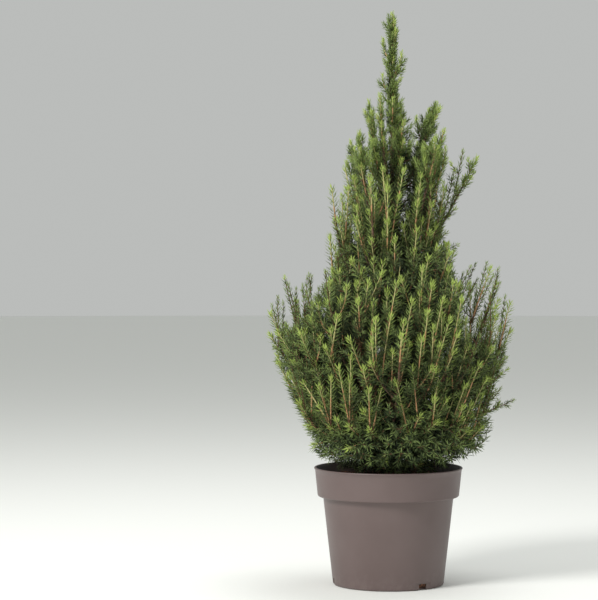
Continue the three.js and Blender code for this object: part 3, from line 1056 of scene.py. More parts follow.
@dataclass
class Crown:
    """All boughs and shoots of the tree, grown by the source's rule and carried to finer twigs."""

    trunk: Trunk
    pot: Pot
    away: float = 0.85
    along: float = 0.5
    bend: float = 0.45
    turn: float = 2.4
    tuft: float = 62.0
    sizes: tuple[float, ...] = (1.0, 0.8, 0.62)
    stretches: int = 14
    overlap: float = 11.0
    upright_step: float = 7.0
    upright_length: Pair = (0.8, 1.35)
    upright_lean: Pair = (0.02, 0.42)
    upright_swing: float = 0.2
    stray_shoots: int = 2
    stray_stretch: Pair = (0.46, 0.78)
    stray_stretched: float = 1.8
    stray_lean: Pair = (0.2, 0.36)
    skirt_lean: Pair = (0.5, 1.5)
    skirt_swing: float = 0.6
    fill_step: float = 4.2
    fill_rise: float = 0.34
    fill_share: float = 1.35
    twig_step: float = 9.0
    twig_share: float = 0.5
    twig_least: float = 20.0
    needle_reach: float = 6.0
    bough_foot: float = 3.1
    stray_foot: float = 2.2
    leader_foot: float = 1.6
    fork_spread: float = 0.56
    fork_foot: float = 1.9
    apart: ByOrder = by_order(0.0, 18.0, 8.5)
    plume_apart: float = 0.68
    lead_tries: int = 5000
    lead_heights: Pair = (215.0, 588.0)
    lead_apart: float = 22.0
    lead_length: Pair = (44.0, 104.0)
    lead_steepness: float = 0.84
    lead_slant: Pair = (0.0, 0.36)
    lead_short: float = 0.58
    lead_growing: Pair = (220.0, 330.0)
    fill_margin: float = 11.0
    fill_margin_heights: Pair = (300.0, 360.0)
    plume_outward: float = 15.0
    collar_shoots: int = 90
    collar_heights: Pair = (171.0, 232.0)
    plume_heights: Pair = (560.0, 630.0)
    plume_depth: float = 0.3
    plume_girths: Pair = (8.0, 20.0)
    plume_length: float = 0.55
    plume_lean: float = 0.12
    mend_tries: int = 20000
    mend_depth: float = 55.0
    mend_heights: Pair = (162.0, 560.0)
    mend_gap: float = 11.0
    mend_length: float = 46.0
    mend_low: float = 230.0
    mend_room: int = 12_000
    airy_left: Triple = (368.0, 132.0, 0.7)
    airy_right: Triple = (348.0, 112.0, 0.2)
    airy_least: float = 78.0
    airy_top: float = 590.0
    airy_keep: ByOrder = by_order(1.0, 0.14, 0.03)
    airy_sparse: ByOrder = by_order(0.5, 0.1, 0.05)
    edge_bearings: Pair = (140.0, 225.0)
    edge_heights: Pair = (330.0, 560.0)
    edge_exposure: float = 0.35
    edge_sparse: float = 0.4
    stray_sparse: float = 0.8
    screen_depth: Pair = (4.0, 90.0)
    screen_width: float = 20.0
    screen_fade: float = 5.0
    outline: tuple[Triple, ...] = (
        (160, 70, 82), (172, 82, 96), (184, 114, 130), (204, 120, 150), (233, 124, 152),
        (261, 142, 157), (289, 153, 163), (320, 171, 171), (361, 177, 183), (392, 178, 183),
        (432, 156, 168), (446, 110, 166), (458, 94, 160), (472, 90, 130), (488, 87, 100),
        (520, 86, 92), (545, 76, 92), (588, 70, 88), (645, 68, 86), (672, 60, 82), (694, 40, 74),
        (708, 30, 46), (718, 26, 36), (745, 23, 32), (770, 20, 28), (790, 16, 20), (812, 12, 12))
    boughs: list[Bough] = field(default_factory=list)
    forks: list[Bough] = field(default_factory=list)
    shoots: list[Shoot] = field(default_factory=list)

    def bough_line(self, tier: Tier, foot: float, azimuth: float, reach: float, top: float) -> Line:
        """The line of one bough: out from the trunk, then up to its tip.

        Args:
            tier: the bough's tier.
            foot: height on the trunk.
            azimuth: direction in degrees from +X.
            reach: how far out the tip stands.
            top: height of the tip.

        Returns:
            The line, in millimetres.
        """
        out = level_direction(math.radians(azimuth))
        start = self.trunk.point(foot)
        end = start + out * reach
        end[2] = top
        turn = start + out * (tier.bow * reach)
        turn[2] = foot + tier.lift * (top - foot)
        return Line.bend(start, turn, end, 65)

    def grow_boughs(self) -> None:
        """Grows every bough with the source's own draws, in the source's order."""
        number = Stream(SOURCE_SEED)
        grown: list[tuple[str, Tier, Line]] = []
        for tier in TIERS:
            for i in range(tier.count):
                azimuth = tier.phase + 360.0 * i / tier.count + 14 * (number() - 0.5)
                foot = tier.foot + 3 * (i % 3) + 4 * (number() - 0.5)
                reach = tier.reach * (1 + 0.1 * (2 * number() - 1))
                top = tier.top + 40 * (number() - 0.5)
                name = f"{tier.name}_{chr(97 + i)}"
                grown.append((name, tier, self.bough_line(tier, foot, azimuth, reach, top)))
        for tier in STRAYS:
            line = self.bough_line(tier, tier.foot, tier.phase, tier.reach, tier.top)
            grown.append((tier.name, tier, line))
        for i, (name, tier, line) in enumerate(grown):
            thick = self.stray_foot if tier in STRAYS else self.bough_foot
            self.boughs.append(Bough(name, tier, line, SOURCE_SEED + 101 * (i + 1), foot=thick))
        foot = self.trunk.point(LEADER.foot)
        tip = np.array((self.trunk.lean_x, self.trunk.lean_y, LEADER.top))
        line = Line.bend(foot, (foot + tip) / 2, tip)
        self.boughs.append(Bough("leader", LEADER, line, SOURCE_SEED, foot=self.leader_foot))
        for place, bough in enumerate(self.boughs):
            bough.place = place

    def grow_forks(self) -> None:
        """Grows the lesser limbs that leave each bough and run up beside it."""
        for bough in self.boughs:
            tier = bough.tier
            number = Stream(bough.seed + 29)
            for pair in range(tier.forks):
                for hand in (-1.0, 1.0):
                    start = lerp(0.22, 0.62, (pair + 0.7 * number()) / tier.forks)
                    end = min(start + 0.42 + 0.16 * number(), 0.97)
                    tip = bough.line.at(end)
                    radial = unit(tip * (1, 1, 0))
                    side = np.cross(UP, radial) * hand
                    gap = math.pi * float(np.hypot(tip[0], tip[1])) / tier.count * self.fork_spread
                    plume = self.plume(tip[2])
                    wide = gap * (0.75 + 0.5 * number()) * (1 - 0.6 * plume)
                    tip = tip + radial * (self.plume_outward * plume)
                    turn = bough.line.at((start + end) / 2) + side * (0.95 * wide)
                    peak = tip + side * wide + UP * (12 * number())
                    line = Line.bend(bough.line.at(start), turn, peak, 49)
                    seed = bough.seed + 31 + pair * 2 + int(hand > 0)
                    fork = Bough(f"{bough.name}_fork_{pair}", tier, line, seed, bough.place,
                                 self.fork_foot, 1.0)
                    inside = [share for share in np.linspace(0.4, 1.0, 13)
                              if self.in_space(fork, line.at(share)[None])]
                    single = plume > 0.5 and tip[0] < 0
                    if inside and not single and not self.airy_place(line.at(inside[-1])):
                        trimmed = Line(line.part(0.0, inside[-1], 49))
                        self.forks.append(replace(fork, line=trimmed))

    def lay_out_space(self) -> None:
        """Keeps every bough as short straight stretches, for measuring distances."""
        ends = np.stack([b.line.part(0.0, 1.0, self.stretches + 1) for b in self.boughs])
        self.starts = ends[:, :-1].reshape(-1, 3)
        self.steps = (ends[:, 1:] - ends[:, :-1]).reshape(-1, 3)
        stem = self.trunk.line()
        self.stem_starts = stem[:-1]
        self.stem_steps = stem[1:] - stem[:-1]
        low, high = CAD_BOX
        margin = self.needle_reach
        self.low = np.array(low) / MM + (margin, margin, 0.0)
        self.high = np.array(high) / MM - (margin, margin, 1.0)

    def distances(self, places: Array, starts: Array, steps: Array) -> Array:
        """How far places stand from straight stretches.

        Args:
            places: points, one row each.
            starts: where each stretch begins.
            steps: from the beginning to the end of each stretch.

        Returns:
            A row of distances for each place.
        """
        from_start = places[:, None] - starts[None]
        share = np.clip((from_start * steps).sum(2) / (steps ** 2).sum(1), 0.0, 1.0)
        return np.linalg.norm(from_start - share[..., None] * steps, axis=2)

    def end_share(self, limb: Bough) -> float:
        """Where on a bough or fork its end shoot begins."""
        part = 0.6 if limb in self.forks else 0.5
        return 1 - min(part * limb.line.length, self.tuft) / limb.line.length

    def outline_reach(self, places: Array) -> Array:
        """How far out the crown's outline stands at the places' heights, to their own side.

        Args:
            places: points, one row each.

        Returns:
            The reach at each place; the plumes may stand further off to the front and back.
        """
        heights, left, right = zip(*self.outline)
        sideways = places[:, 0] / np.maximum(np.hypot(places[:, 0], places[:, 1]), 1e-6)
        low = np.interp(places[:, 2], heights, left)
        high = np.interp(places[:, 2], heights, right)
        most = 1 + self.plume_depth * smoothstep(places[:, 2], *self.plume_heights)
        return lerp(low, high, 0.5 + 0.5 * sideways) * np.minimum(1 / np.maximum(np.abs(sideways), 0.1), most)

    def in_crown(self, places: Array, bounded: bool = True, margin: float = 0.0) -> bool:
        """True if the places lie within the crown.

        Args:
            places: points, one row each.
            bounded: whether the crown's outline holds them too, as it does all but the strays.
            margin: how far inside the outline they stay.

        Returns:
            Whether all of them are within reach and clear of compost and rim.
        """
        if (places < self.low).any() or (places > self.high).any():
            return False
        reach = np.hypot(places[:, 0], places[:, 1])
        floor = np.where(reach > self.pot.rim_radius - 9.0, self.pot.height + 4.0, self.trunk.ground + 3.0)
        if (places[:, 2] < floor).any():
            return False
        limit = self.outline_reach(places) - self.needle_reach - margin
        return not bounded or bool((reach < limit).all())

    def in_space(self, bough: Bough, places: Array, margin: float = 0.0) -> bool:
        """True if the places lie in the bough's own space, or just over its edge.

        Args:
            bough: the bough that the places belong to.
            places: points, one row each.
            margin: how far inside the crown's outline they stay.

        Returns:
            Whether all of them are in the crown, off the trunk and nearest to this bough.
        """
        if not self.in_crown(places, bough.tier not in STRAYS, margin):
            return False
        stem = self.distances(places, self.stem_starts, self.stem_steps).min(1)
        if (stem < self.trunk.radius(places[:, 2]) + 1.5).any():
            return False
        all_distances = self.distances(places, self.starts, self.steps)
        nearest = all_distances.reshape(len(places), len(self.boughs), self.stretches).min(2)
        own = nearest[:, bough.place].copy()
        slim, full = self.plume_girths
        girth = np.where((places[:, 0] > 0) | (bough.tier is LEADER), full, slim)
        if ((places[:, 2] > self.plume_heights[1]) & (own > girth)).any():
            return False
        nearest[:, bough.place] = np.inf
        return bool((nearest.min(1) > own - self.overlap).all())

    def shoot_line(self, start: Array, along: Array, outward: Array, length: float, rise: float,
                   bend: float | None = None) -> Line:
        """The line of a side shoot: away from its bearer at an angle, then bending up.

        Args:
            start: where it leaves its bearer.
            along: the bearer's direction there.
            outward: the direction square to the bearer.
            length: how long the shoot is.
            rise: how much of its length goes up.
            bend: share of its length where it turns up, or the source's.

        Returns:
            The line, in millimetres.
        """
        away = unit(along * self.along + outward * self.away)
        end = start + away * ((1 - 0.85 * rise) * length) + UP * (rise * length)
        return Line.bend(start, start + away * ((bend or self.bend) * length), end, 17)

    def first_clear(self, bough: Bough, make: Callable[[float], Line], margin: float = 0.0) -> Line | None:
        """Finds the first of several sizes whose outer part stays in the bough's space.

        Args:
            bough: the bough that the line belongs to.
            make: draws the line in a size.
            margin: how far inside the crown's outline it stays.

        Returns:
            The line, or nothing.
        """
        for size in self.sizes:
            line = make(size)
            if self.in_space(bough, line.part(0.6, 1.0, 3), margin):
                return line
        return None

    def margin_at(self, height: float) -> float:
        """How far inside the outline the short twigs stay, so that long shoots stand clear."""
        inside = self.fill_margin * float(smoothstep(height, *self.fill_margin_heights))
        return inside * (1 - self.plume(height))

    def side_shoot(self, bough: Bough, line: Line, frames: tuple[Array, Array, Array], share: float,
                   turn: float, full: float, rise: float, bend: float | None = None,
                   margin: float = 0.0) -> Line | None:
        """One side shoot of a line, in the largest size that has room.

        Args:
            bough: the bough whose space it keeps to.
            line: the line that bears it.
            frames: the line's normals, binormals and tangents.
            share: where it stands on the line.
            turn: its angle round the line.
            full: its length where there is room.
            rise: how much of it goes up.
            bend: share of its length where it turns up, or the source's.
            margin: how far inside the crown's outline it stays.

        Returns:
            The shoot's line, or nothing.
        """
        normals, binormals, tangents = frames
        at = round((len(normals) - 1) * share)
        outward = normals[at] * math.cos(turn) + binormals[at] * math.sin(turn)
        start = line.at(share)
        return self.first_clear(bough, lambda size: self.shoot_line(
            start, tangents[at], outward, size * full, rise, bend), margin)

    def grow_ends(self, bough: Bough) -> list[Shoot]:
        """Grows the end shoot of a bough, and the side shoots that the source gives it.

        Args:
            bough: the bough that bears them.

        Returns:
            The bough's end and its side shoots.
        """
        tier, line = bough.tier, bough.line
        number = Stream(bough.seed)
        number()
        end = Line(line.part(self.end_share(bough), 1.0, 17))
        grown = [Shoot(end, Order.END, bough, 0.0, number_of(bough.seed))]
        first = max(tier.enter + 0.06, 22 / line.length)
        for k in range(0 if tier in STRAYS else tier.shoots):
            share = lerp(first, 0.86, (k + 0.5 * number()) / tier.shoots)
            turn = self.turn * k + 1.2 * number()
            full = tier.shoot_length * (1 - 0.25 * share) * (0.9 + 0.2 * number())
            made = self.side_shoot(bough, line, bough.frames, share, turn, full, tier.rise)
            if made:
                grown.append(Shoot(made, Order.BRANCHLET, bough, 9.0, number()))
        return grown

    def upright_line(self, start: Array, along: Array, length: float, lean: float, swing: float) -> Line:
        """The line of a long straight shoot that fans out a little from the crown's middle.

        Args:
            start: where it leaves its bearer.
            along: the bearer's direction there.
            length: how long the shoot is.
            lean: how far it leans outward for each unit that it rises.
            swing: how far it leans sideways for each unit that it rises.

        Returns:
            The line, in millimetres.
        """
        radial = unit(start * (1, 1, 0) + 1e-6)
        heading = unit(UP + radial * lean + np.cross(UP, radial) * swing)
        turn = start + unit(along + 1.5 * heading) * (0.25 * length)
        return Line.bend(start, turn, start + heading * length, 17)

    def grow_uprights(self, limb: Bough) -> list[Shoot]:
        """Grows long straight shoots that rise from a bough or fork.

        Args:
            limb: the bough or fork.

        Returns:
            The shoots that found room.
        """
        tier, line = limb.tier, limb.line
        number = Stream(limb.seed + 5)
        tangents = limb.frames[2]
        first, last = min(max(tier.enter + 0.06, 22 / line.length), 0.4), 0.97
        count = int((last - first) * line.length / self.upright_step)
        leans, swings, stretched = self.upright_lean, self.upright_swing, 1.0
        if tier in STRAYS:
            count, leans = (self.stray_shoots if tier is STRAYS[0] else 0), self.stray_lean
            (first, last), stretched = self.stray_stretch, self.stray_stretched
        if tier is TIERS[0]:
            leans, swings = self.skirt_lean, self.skirt_swing
        grown: list[Shoot] = []
        for k in range(count):
            share = lerp(first, last, (k + 0.5 * number()) / count)
            start, along = line.at(share), tangents[round((len(tangents) - 1) * share)]
            full = tier.shoot_length * lerp(*self.upright_length, number())
            full *= lerp(1.0, self.plume_length, self.plume(start[2] + 50.0)) * stretched
            lean, swing = lerp(*leans, number()), swings * (2 * number() - 1)
            lean += self.plume_lean * self.plume(start[2])
            made = self.first_clear(
                limb, lambda size: self.upright_line(start, along, size * full, lean, swing))
            if made:
                grown.append(Shoot(made, Order.BRANCHLET, limb, 3.0, number()))
        return grown

    def plume(self, height: float) -> float:
        """0 where shoots are long and open, 1 in the close-set plumes near the top."""
        return float(smoothstep(height, *self.plume_heights))

    def grow_fill(self, limb: Bough) -> list[Shoot]:
        """Grows the short dense twigs that clothe a bough or fork itself.

        Args:
            limb: the bough or fork.

        Returns:
            The twigs that found room.
        """
        number = Stream(limb.seed + 13)
        line, tier = limb.line, limb.tier
        leading = tier is LEADER
        thick = (9.0 if tier in STRAYS else max(tier.fat, 14.0)) * self.fill_share
        step = self.fill_step * (0.5 if leading else 2.0 if tier in STRAYS else 1.0)
        low = 14 / line.length
        count = int((0.95 - low) * line.length / step)
        grown: list[Shoot] = []
        for k in range(count):
            share = lerp(low, 0.95, (k + number()) / count)
            turn = GOLDEN_TURN * k + 1.5 * number()
            height = float(line.at(share)[2])
            plume = self.plume(height)
            full = thick * (0.7 + 0.6 * number()) * (1 - 0.35 * share)
            full *= 1.0 if leading else 1 - 0.42 * plume
            droop = 0.3 if tier is TIERS[0] else 0.0
            rise = lerp(self.fill_rise * (0.4 + number()) - droop * number(), 0.72, plume)
            margin = self.margin_at(height)
            made = self.side_shoot(limb, line, limb.frames, share, turn, full, rise, 0.3, margin)
            if made:
                grown.append(Shoot(made, Order.TWIG, limb, 1.0, number()))
        return grown

    def grow_twigs(self, bearer: Shoot, number: Stream) -> list[Shoot]:
        """Grows the finer twigs of one branchlet.

        Args:
            bearer: the branchlet.
            number: the stream that draws them.

        Returns:
            The twigs that found room.
        """
        line, bough = bearer.line, bearer.bough
        count = int(line.length * 0.55 / self.twig_step)
        grown: list[Shoot] = []
        if count < 1:
            return grown
        frames = line.frames(12)
        for k in range(count):
            share = lerp(0.15, 0.7, (k + 0.6 * number()) / count)
            turn = GOLDEN_TURN * k + 1.4 * number()
            full = self.twig_share * bough.tier.shoot_length * (0.75 + 0.5 * number())
            full = max(full * (1.1 - 0.5 * share), self.twig_least)
            margin = self.margin_at(float(line.at(share)[2]))
            made = self.side_shoot(bough, line, frames, share, turn, full, self.fill_rise, 0.3, margin)
            if made:
                grown.append(Shoot(made, Order.TWIG, bough, 1.0, number()))
        return grown

    def grow_collar(self) -> list[Shoot]:
        """Grows the low twigs that hide the trunk's foot and spill over the pot's rim.

        Returns:
            The twigs that found room.
        """
        number = Stream(SOURCE_SEED + 3)
        grown: list[Shoot] = []
        for k in range(self.collar_shoots):
            height = lerp(*self.collar_heights, number())
            out = level_direction(GOLDEN_TURN * k)
            reach = 34 + 46 * number()
            start = self.trunk.point(height) + out * 4
            nearest = min(self.boughs, key=lambda b: float(np.linalg.norm(b.line.at(0.3) - start - out * 30)))
            end = start + out * reach + UP * (26 * number() - 8)
            line = Line.bend(start, start + out * (0.6 * reach) + UP * 6, end, 17)
            if self.in_crown(line.part(0.5, 1.0, 3)):
                grown.append(Shoot(line, Order.TWIG, nearest, 8.0, number()))
        return grown

    def grow_leads(self, main_shoots: list[Shoot]) -> list[Shoot]:
        """Grows long straight shoots up to places on the crown's face that no main shoot tops.

        Args:
            main_shoots: the shoots that stand already.

        Returns:
            The new shoots.
        """
        number = Stream(SOURCE_SEED + 19)
        limbs = self.boughs + self.forks
        rows = [(limb, limb.line.part(0.15, 0.97, int(limb.line.length / 6))) for limb in limbs]
        rows += [(s.bough, s.line.part(0.1, 0.6, 4)) for s in main_shoots if s.order is Order.BRANCHLET]
        bearers = np.concatenate([points for _, points in rows])
        owners = [limb for limb, points in rows for _ in points]
        tips = [shoot.tip for shoot in main_shoots]
        grown: list[Shoot] = []
        for _ in range(self.lead_tries):
            angle, height, depth = 2 * math.pi * number(), lerp(*self.lead_heights, number()), number()
            tip = level_direction(angle) + UP * height
            tip[:2] *= float(self.outline_reach(tip[None])[0]) - self.needle_reach - 2.0 - 22.0 * depth
            if np.linalg.norm(np.array(tips) - tip, axis=1).min() < self.lead_apart:
                continue
            offset = tip - bearers
            span = np.linalg.norm(offset, axis=1)
            steep = offset[:, 2] / span
            outward = np.hypot(tip[0], tip[1]) - np.hypot(bearers[:, 0], bearers[:, 1])
            short = lerp(self.lead_short, 1.0, float(smoothstep(height, *self.lead_growing)))
            least, most = (short * length for length in self.lead_length)
            fit = (span > least) & (span < most) & (steep > self.lead_steepness) & (outward > -4.0)
            if not fit.any():
                continue
            slant = np.abs(offset[:, 0] / span - lerp(*self.lead_slant, smoothstep(tip[0], 0.0, 120.0)))
            cost = np.abs(span - 0.75 * most) - 120 * steep + 110 * slant
            best = int(np.argmin(np.where(fit, cost, np.inf)))
            start = bearers[best]
            line = Line.bend(start, lerp(start, tip, 0.45) + UP * 2.0, tip, 17)
            shoot = Shoot(line, Order.BRANCHLET, owners[best], 3.0, number())
            if self.in_crown(line.part(0.4, 1.0, 4)) and self.aired([shoot]):
                grown.append(shoot)
                tips.append(tip)
        log.info("crown: %d leads grown", len(grown))
        return grown

    def mend_gaps(self) -> None:
        """Grows short twigs out to places just inside the outline that no shoot has reached."""
        number = Stream(SOURCE_SEED + 17)
        taken = [s.line.part(0.0, 1.0, max(3, int(s.line.length / PATH_STEP))) for s in self.shoots]
        owners = [i for i, points in enumerate(taken) for _ in points]
        points = np.concatenate(taken)
        tree = KDTree(len(points))
        for i, point in enumerate(points):
            tree.insert(point, i)
        tree.balance()
        added = np.empty((self.mend_room, 3))
        used = 0
        tries = sorted((number(), number(), number()) for _ in range(self.mend_tries))
        for depth, angle, share in tries:
            height = lerp(*self.mend_heights, share)
            place = level_direction(2 * math.pi * angle) + UP * height
            reach = float(self.outline_reach(place[None])[0]) - self.needle_reach - 1.0
            place[:2] *= reach - 0.5 * self.margin_at(height) - self.mend_depth * (1 - depth)
            if not self.in_crown(place[None]) or tree.find(place)[2] < self.mend_gap:
                continue
            late = np.linalg.norm(added[:used] - place, axis=1)
            if used and late.min() < self.mend_gap:
                continue
            found = [(gap, i) for _, i, gap in tree.find_range(place, self.mend_length)]
            found += [(float(late[j]), len(points) + int(j)) for j in np.flatnonzero(late < self.mend_length)]
            own = float(np.hypot(place[0], place[1]))
            for gap, i in sorted(found):
                start = points[i] if i < len(points) else added[i - len(points)]
                inward = math.hypot(start[0], start[1]) < own - 6
                if inward and (start[2] < height - 0.1 * gap or height < self.mend_low):
                    break
            else:
                continue
            middle = (start + place) / 2 + (place - start) * (1, 1, 0) * 0.12
            bough = self.shoots[owners[i]].bough
            twig = Shoot(Line.bend(start, middle, place, 17), Order.TWIG, bough, 1.0, number())
            if self.is_airy(twig):
                continue
            added[used:used + 3] = twig.line.part(0.3, 1.0, 3)
            owners += [len(self.shoots)] * 3
            used += 3
            self.shoots.append(twig)

    def thin_out(self, candidates: list[Shoot]) -> list[Shoot]:
        """Keeps shoots whose tips stand apart, the main ones first.

        Args:
            candidates: all shoots, in the order of their rank.

        Returns:
            The kept shoots.
        """
        kept: list[Shoot] = []
        tips = np.empty((0, 3))
        for shoot in candidates:
            apart = self.apart[shoot.order] * lerp(1.0, self.plume_apart, self.plume(float(shoot.tip[2])))
            clear = len(tips) == 0 or np.linalg.norm(tips - shoot.tip, axis=1).min() > apart
            if clear or shoot.order is Order.END:
                kept.append(shoot)
                tips = np.vstack([tips, shoot.tip])
        return kept

    def aired(self, shoots: list[Shoot]) -> list[Shoot]:
        """The shoots without most of those where the crown thins out."""
        return [s for s in shoots if s.chance < self.airy_keep[s.order] or not self.is_airy(s)]

    def is_airy(self, shoot: Shoot) -> bool:
        """True where a shoot ends in the airy shoulders and isn't a stray's."""
        return shoot.bough.tier not in STRAYS and self.airy_place(shoot.tip)

    def airy_place(self, place: Array) -> bool:
        """True at both sides of the crown's shoulders, which thin out to single upright shoots."""
        low, inner, narrowing = self.airy_left if place[0] < 0 else self.airy_right
        edge = max(inner - narrowing * (place[2] - low), self.airy_least)
        return bool(low < place[2] < self.airy_top and abs(place[0]) > edge)

    def measure_exposure(self) -> None:
        """Finds how openly each shoot stands: 1 on the crown's outside, near 0 deep inside. The needle and
        twig tones darken where it is low, as painted shade.
        """
        middles = np.array([s.line.at(0.7) for s in self.shoots])
        radial = middles * (1, 1, 0)
        radial /= np.maximum(np.linalg.norm(radial, axis=1), 1e-6)[:, None]
        look = radial + UP * 0.35
        look /= np.linalg.norm(look, axis=1)[:, None]
        near, far = self.screen_depth
        for shoot, place, direction in zip(self.shoots, middles, look):
            offset = middles - place
            ahead = offset @ direction
            aside = np.linalg.norm(offset - ahead[:, None] * direction, axis=1)
            screen = ((ahead > near) & (ahead < far) & (aside < self.screen_width)).sum()
            shoot.exposure = math.exp(-screen / self.screen_fade)

    def mark_sparse(self) -> None:
        """Marks the thin, worn shoots at the crown's left edge, on its strays and airy shoulders."""
        (first, last), (low, high) = self.edge_bearings, self.edge_heights
        for shoot in self.shoots:
            x, y, z = shoot.tip
            bearing = math.degrees(math.atan2(y, x)) % 360
            edge = first < bearing < last and low < z < high and shoot.exposure > self.edge_exposure
            stray = shoot.bough.tier in STRAYS and shoot.chance < self.stray_sparse
            airy = self.is_airy(shoot) and shoot.chance < self.airy_sparse[shoot.order]
            shoot.sparse = (edge and shoot.chance < self.edge_sparse) or stray or airy

    def grow(self) -> None:
        """Grows the whole crown."""
        self.grow_boughs()
        self.lay_out_space()
        self.grow_forks()
        limbs = self.boughs + self.forks
        ranks: dict[Order, list[Shoot]] = {order: [] for order in Order}
        for bough in self.boughs:
            for shoot in self.grow_ends(bough):
                ranks[shoot.order].append(shoot)
        for fork in self.forks:
            end = Line(fork.line.part(self.end_share(fork), 1.0, 17))
            ranks[Order.END].append(Shoot(end, Order.END, fork, 0.0, number_of(fork.seed)))
        for limb in limbs:
            ranks[Order.BRANCHLET] += self.grow_uprights(limb)
        number = Stream(SOURCE_SEED + 7)
        main_shoots = self.thin_out(ranks[Order.END] + self.aired(ranks[Order.BRANCHLET]))
        main_shoots += self.grow_leads(main_shoots)
        for bearer in main_shoots:
            ranks[Order.TWIG] += self.grow_twigs(bearer, number)
        for limb in limbs:
            ranks[Order.TWIG] += self.grow_fill(limb)
        ranks[Order.TWIG] += self.grow_collar()
        candidates = main_shoots + sorted(self.aired(ranks[Order.TWIG]), key=lambda s: s.chance)
        self.shoots = self.thin_out(candidates)
        found = len(self.shoots)
        self.mend_gaps()
        self.measure_exposure()
        self.mark_sparse()
        log.info("crown: %d boughs, %d main shoots, %d of %d shoots kept, %d grown into gaps",
                 len(self.boughs), len(main_shoots), found, len(candidates), len(self.shoots) - found)


def number_of(seed: int) -> float:
    """One number from 0 to 1 that belongs to a seed."""
    return Stream(seed)()


# ---------------------------------------------------------------- trunk and boughs
@dataclass
class Bark:
    """The trunk and every bough as tapering limbs with the bark's relief."""

    crown: Crown
    trunk_sides: int = 40
    trunk_step: float = 3.0
    bough_sides: int = 10
    bough_step: float = 4.0
    relief: float = 0.55

    def ridges(self, angles: Array, along: float, radius: float) -> Array:
        """Height of the bark's scales round one ring.

        Args:
            angles: the ring's angles.
            along: distance along the limb, in millimetres.
            radius: the limb's radius there.

        Returns:
            How far each point stands out, in millimetres.
        """
        scale = np.sin(7 * angles + 0.35 * along + 1.5 * np.sin(0.21 * along))
        flakes = np.sin(11 * angles - 0.5 * along) * np.sin(0.8 * along + 2 * np.sin(3 * angles))
        return self.relief * min(1.0, radius / 6.0) * (0.6 * scale + 0.4 * flakes)

    def tube(self, centres: Array, radii: Callable[[int, Array], Array], sides: int) -> tuple[Array, Faces]:
        """A closed tube along a row of centres.

        Args:
            centres: the middle of each ring.
            radii: gives the radii of ring i at its angles.
            sides: points in each ring.

        Returns:
            Points and outward faces.
        """
        line = Line(centres)
        normals, binormals, _ = line.frames(len(centres) - 1)
        angles = np.arange(sides) * 2 * math.pi / sides
        rows = []
        for i, centre in enumerate(line.points):
            out = np.cos(angles)[:, None] * normals[i] + np.sin(angles)[:, None] * binormals[i]
            rows.append(centre + out * radii(i, angles)[:, None])
        return closed_skin(rows, line.points[0], line.points[-1])

    def trunk_tube(self) -> tuple[Array, Faces]:
        """The trunk with its flare and bark."""
        trunk = self.crown.trunk
        low = trunk.ground - 2.0
        heights = np.linspace(low, trunk.top, int((trunk.top - low) / self.trunk_step))
        centres = np.array([trunk.point(z) for z in heights])

        def radii(i: int, angles: Array) -> Array:
            """The trunk's radii at one ring."""
            z = max(float(heights[i]), trunk.ground)
            flare = float(1 - smoothstep(z, trunk.ground, trunk.ground + trunk.flare_height))
            spread = (trunk.flare_radius - trunk.foot_radius) * flare ** 2 * (1 + 0.22 * np.cos(4 * angles))
            radius = float(trunk.radius(z))
            return radius + spread + self.ridges(angles, z, radius)

        return self.tube(centres, radii, self.trunk_sides)

    def bough_tube(self, bough: Bough) -> tuple[Array, Faces]:
        """One bough, from inside the trunk out to where its end shoot begins."""
        count = max(int(bough.line.length / self.bough_step), 8)
        last = self.crown.end_share(bough) + 3.0 / bough.line.length
        centres = bough.line.part(0.0, last, count)

        def radii(i: int, angles: Array) -> Array:
            """The bough's radii at one ring."""
            share = last * i / (count - 1)
            collar = 0.8 * math.exp(-share * bough.line.length / 9.0)
            radius = float(bough.stem_radius(share))
            return radius + collar + self.ridges(angles, share * bough.line.length, radius) * 0.7

        return self.tube(centres, radii, self.bough_sides)

    def dress(self) -> None:
        """Builds the bark of the trunk and of all boughs, and hands it in."""
        finish = BarkFinish().build()
        trunk = mesh_object("trunk_bark", *self.trunk_tube())
        hand_in(trunk, ["trunk"], finish)
        points: list[Array] = []
        faces: Faces = []
        for bough in self.crown.boughs + self.crown.forks:
            some, more = self.bough_tube(bough)
            start = sum(len(p) for p in points)
            points.append(some)
            faces += [tuple(start + corner for corner in face) for face in more]
        limbs = mesh_object("bough_bark", np.concatenate(points), faces)
        hand_in(limbs, [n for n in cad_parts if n.startswith("bough_")], finish)


